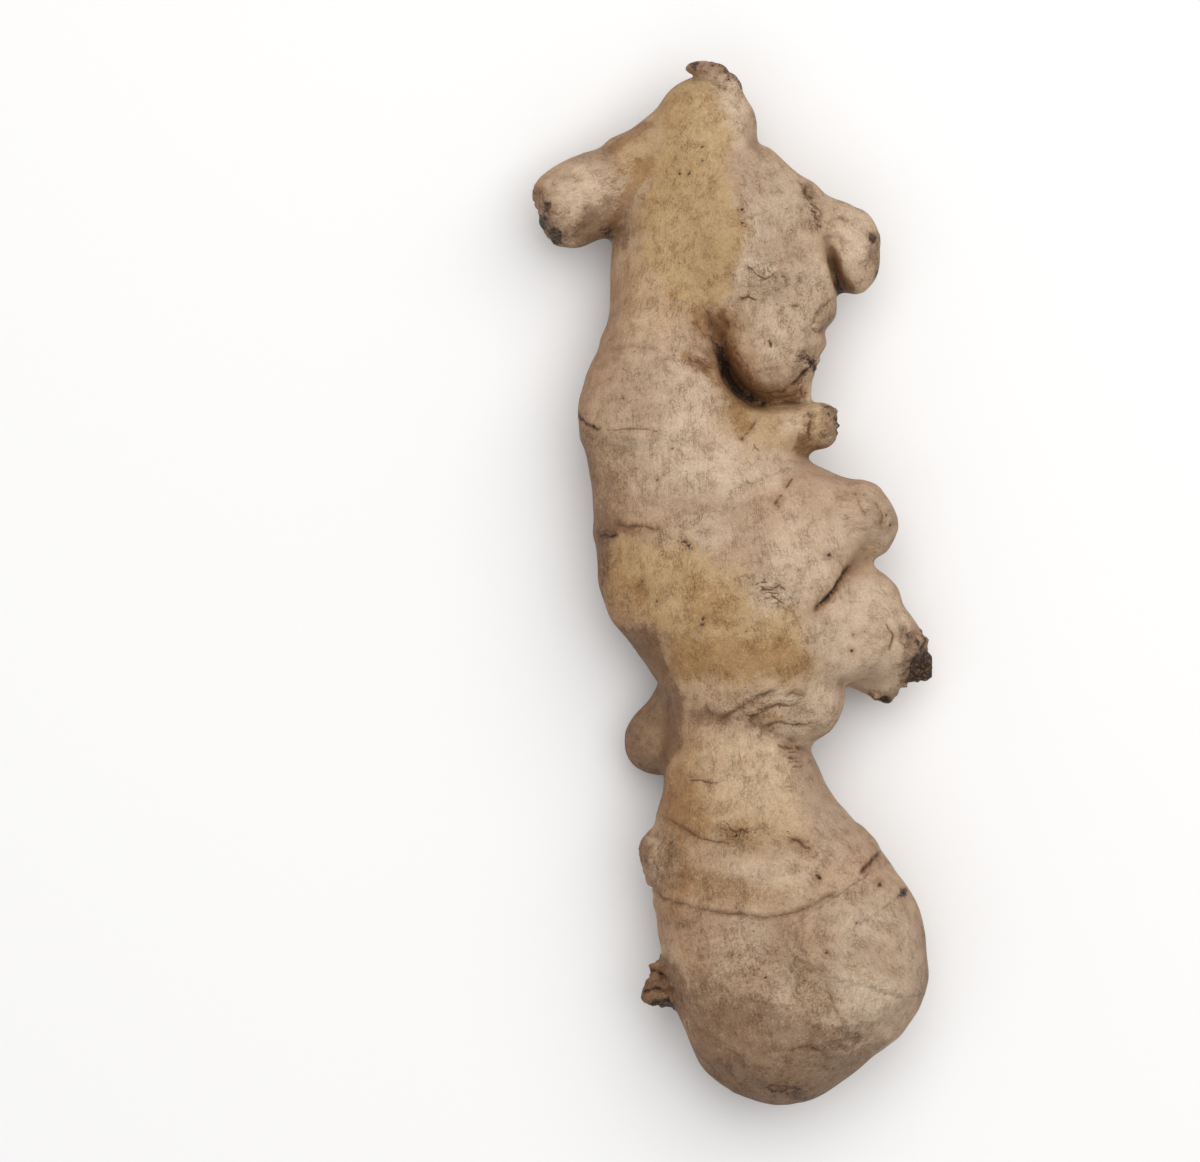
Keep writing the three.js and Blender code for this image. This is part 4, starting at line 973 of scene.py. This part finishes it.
def skin_material():
    material = bpy.data.materials.new("ginger_skin")
    material.use_nodes = True
    tree = material.node_tree
    tree.nodes.clear()
    n = Nodes(tree)
    skin = Skin(n)
    colour = skin.scarred_and_shadowed(skin.shaded(skin.grained(skin.stained())))
    bump = n.add("ShaderNodeBump", {"Strength": 0.9, "Distance": MM, "Height": skin.relief()})

    shader = n.add("ShaderNodeBsdfPrincipled", {"Base Color": colour, "Normal": bump.outputs["Normal"]})
    shader.inputs["Roughness"].default_value = 0.62
    shader.inputs["Specular IOR Level"].default_value = 0.35
    shader.inputs["Subsurface Weight"].default_value = 0.06
    shader.inputs["Subsurface Radius"].default_value = (1.0, 0.5, 0.25)
    shader.inputs["Subsurface Scale"].default_value = 1.2 * MM
    output = n.add("ShaderNodeOutputMaterial")
    tree.links.new(shader.outputs["BSDF"], output.inputs["Surface"])
    return material


def plain_material(name, colour, roughness):
    material = bpy.data.materials.new(name)
    material.use_nodes = True
    shader = material.node_tree.nodes["Principled BSDF"]
    shader.inputs["Base Color"].default_value = colour
    shader.inputs["Roughness"].default_value = roughness
    return material


# The floor and the lights, in metres and watts
FLOOR_HALF = 3.0
FLOOR_COLOUR = (0.86, 0.86, 0.86, 1)
LIGHTS = {
    "key": {"place": (0.34, 0.5, 1.1), "size": 1.4, "power": 13.0, "colour": (1, 0.985, 0.96)},
    "fill": {"place": (-0.1, -0.15, 1.4), "size": 1.8, "power": 8, "colour": (0.98, 0.98, 1)},
}
SKY_STRENGTH = 0.38


def make_floor():
    half = FLOOR_HALF
    mesh = bpy.data.meshes.new("floor")
    corners = [(-half, -half, 0), (half, -half, 0), (half, half, 0), (-half, half, 0)]
    mesh.from_pydata(corners, [], [(0, 1, 2, 3)])
    floor = bpy.data.objects.new("floor", mesh)
    bpy.context.scene.collection.objects.link(floor)
    mesh.materials.append(plain_material("pale_floor", FLOOR_COLOUR, 0.8))


def make_camera():
    data = bpy.data.cameras.new("camera")
    data.sensor_width = SENSOR
    data.lens = SENSOR * (CAMERA_HEIGHT - VIEW_LEVEL) / VIEW_WIDTH
    camera = bpy.data.objects.new("camera", data)
    camera.location = (VIEW_CENTRE[0] * MM, VIEW_CENTRE[1] * MM, CAMERA_HEIGHT * MM)
    bpy.context.scene.collection.objects.link(camera)
    bpy.context.scene.camera = camera


def make_light(name, place, size, power, colour):
    """A square soft light that faces the middle of the rhizome."""
    data = bpy.data.lights.new(name, "AREA")
    data.size = size
    data.energy = power
    data.color = colour
    light = bpy.data.objects.new(name, data)
    light.location = place
    target = np.array((0, 0, VIEW_LEVEL * MM)) - np.array(place)
    flat = math.hypot(target[0], target[1])
    light.rotation_euler = (math.atan2(flat, -target[2]), 0, math.atan2(-target[0], target[1]))
    bpy.context.scene.collection.objects.link(light)


def make_lights():
    for name, settings in LIGHTS.items():
        make_light(name, **settings)
    world = bpy.data.worlds.new("studio")
    world.use_nodes = True
    sky = world.node_tree.nodes["Background"]
    sky.inputs["Color"].default_value = (1, 1, 1, 1)
    sky.inputs["Strength"].default_value = SKY_STRENGTH
    bpy.context.scene.world = world
    bpy.context.scene.view_settings.view_transform = "Standard"


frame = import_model()
cad_low, cad_high = [np.array(corner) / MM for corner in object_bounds()]

skin = grown_mesh(frame["nodes"][NODE])
dress_skin(skin, cad_low, cad_high)
skin.data.materials.clear()
skin.data.materials.append(skin_material())
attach(skin, BODY)
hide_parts(NODE)
make_floor()
make_camera()
make_lights()
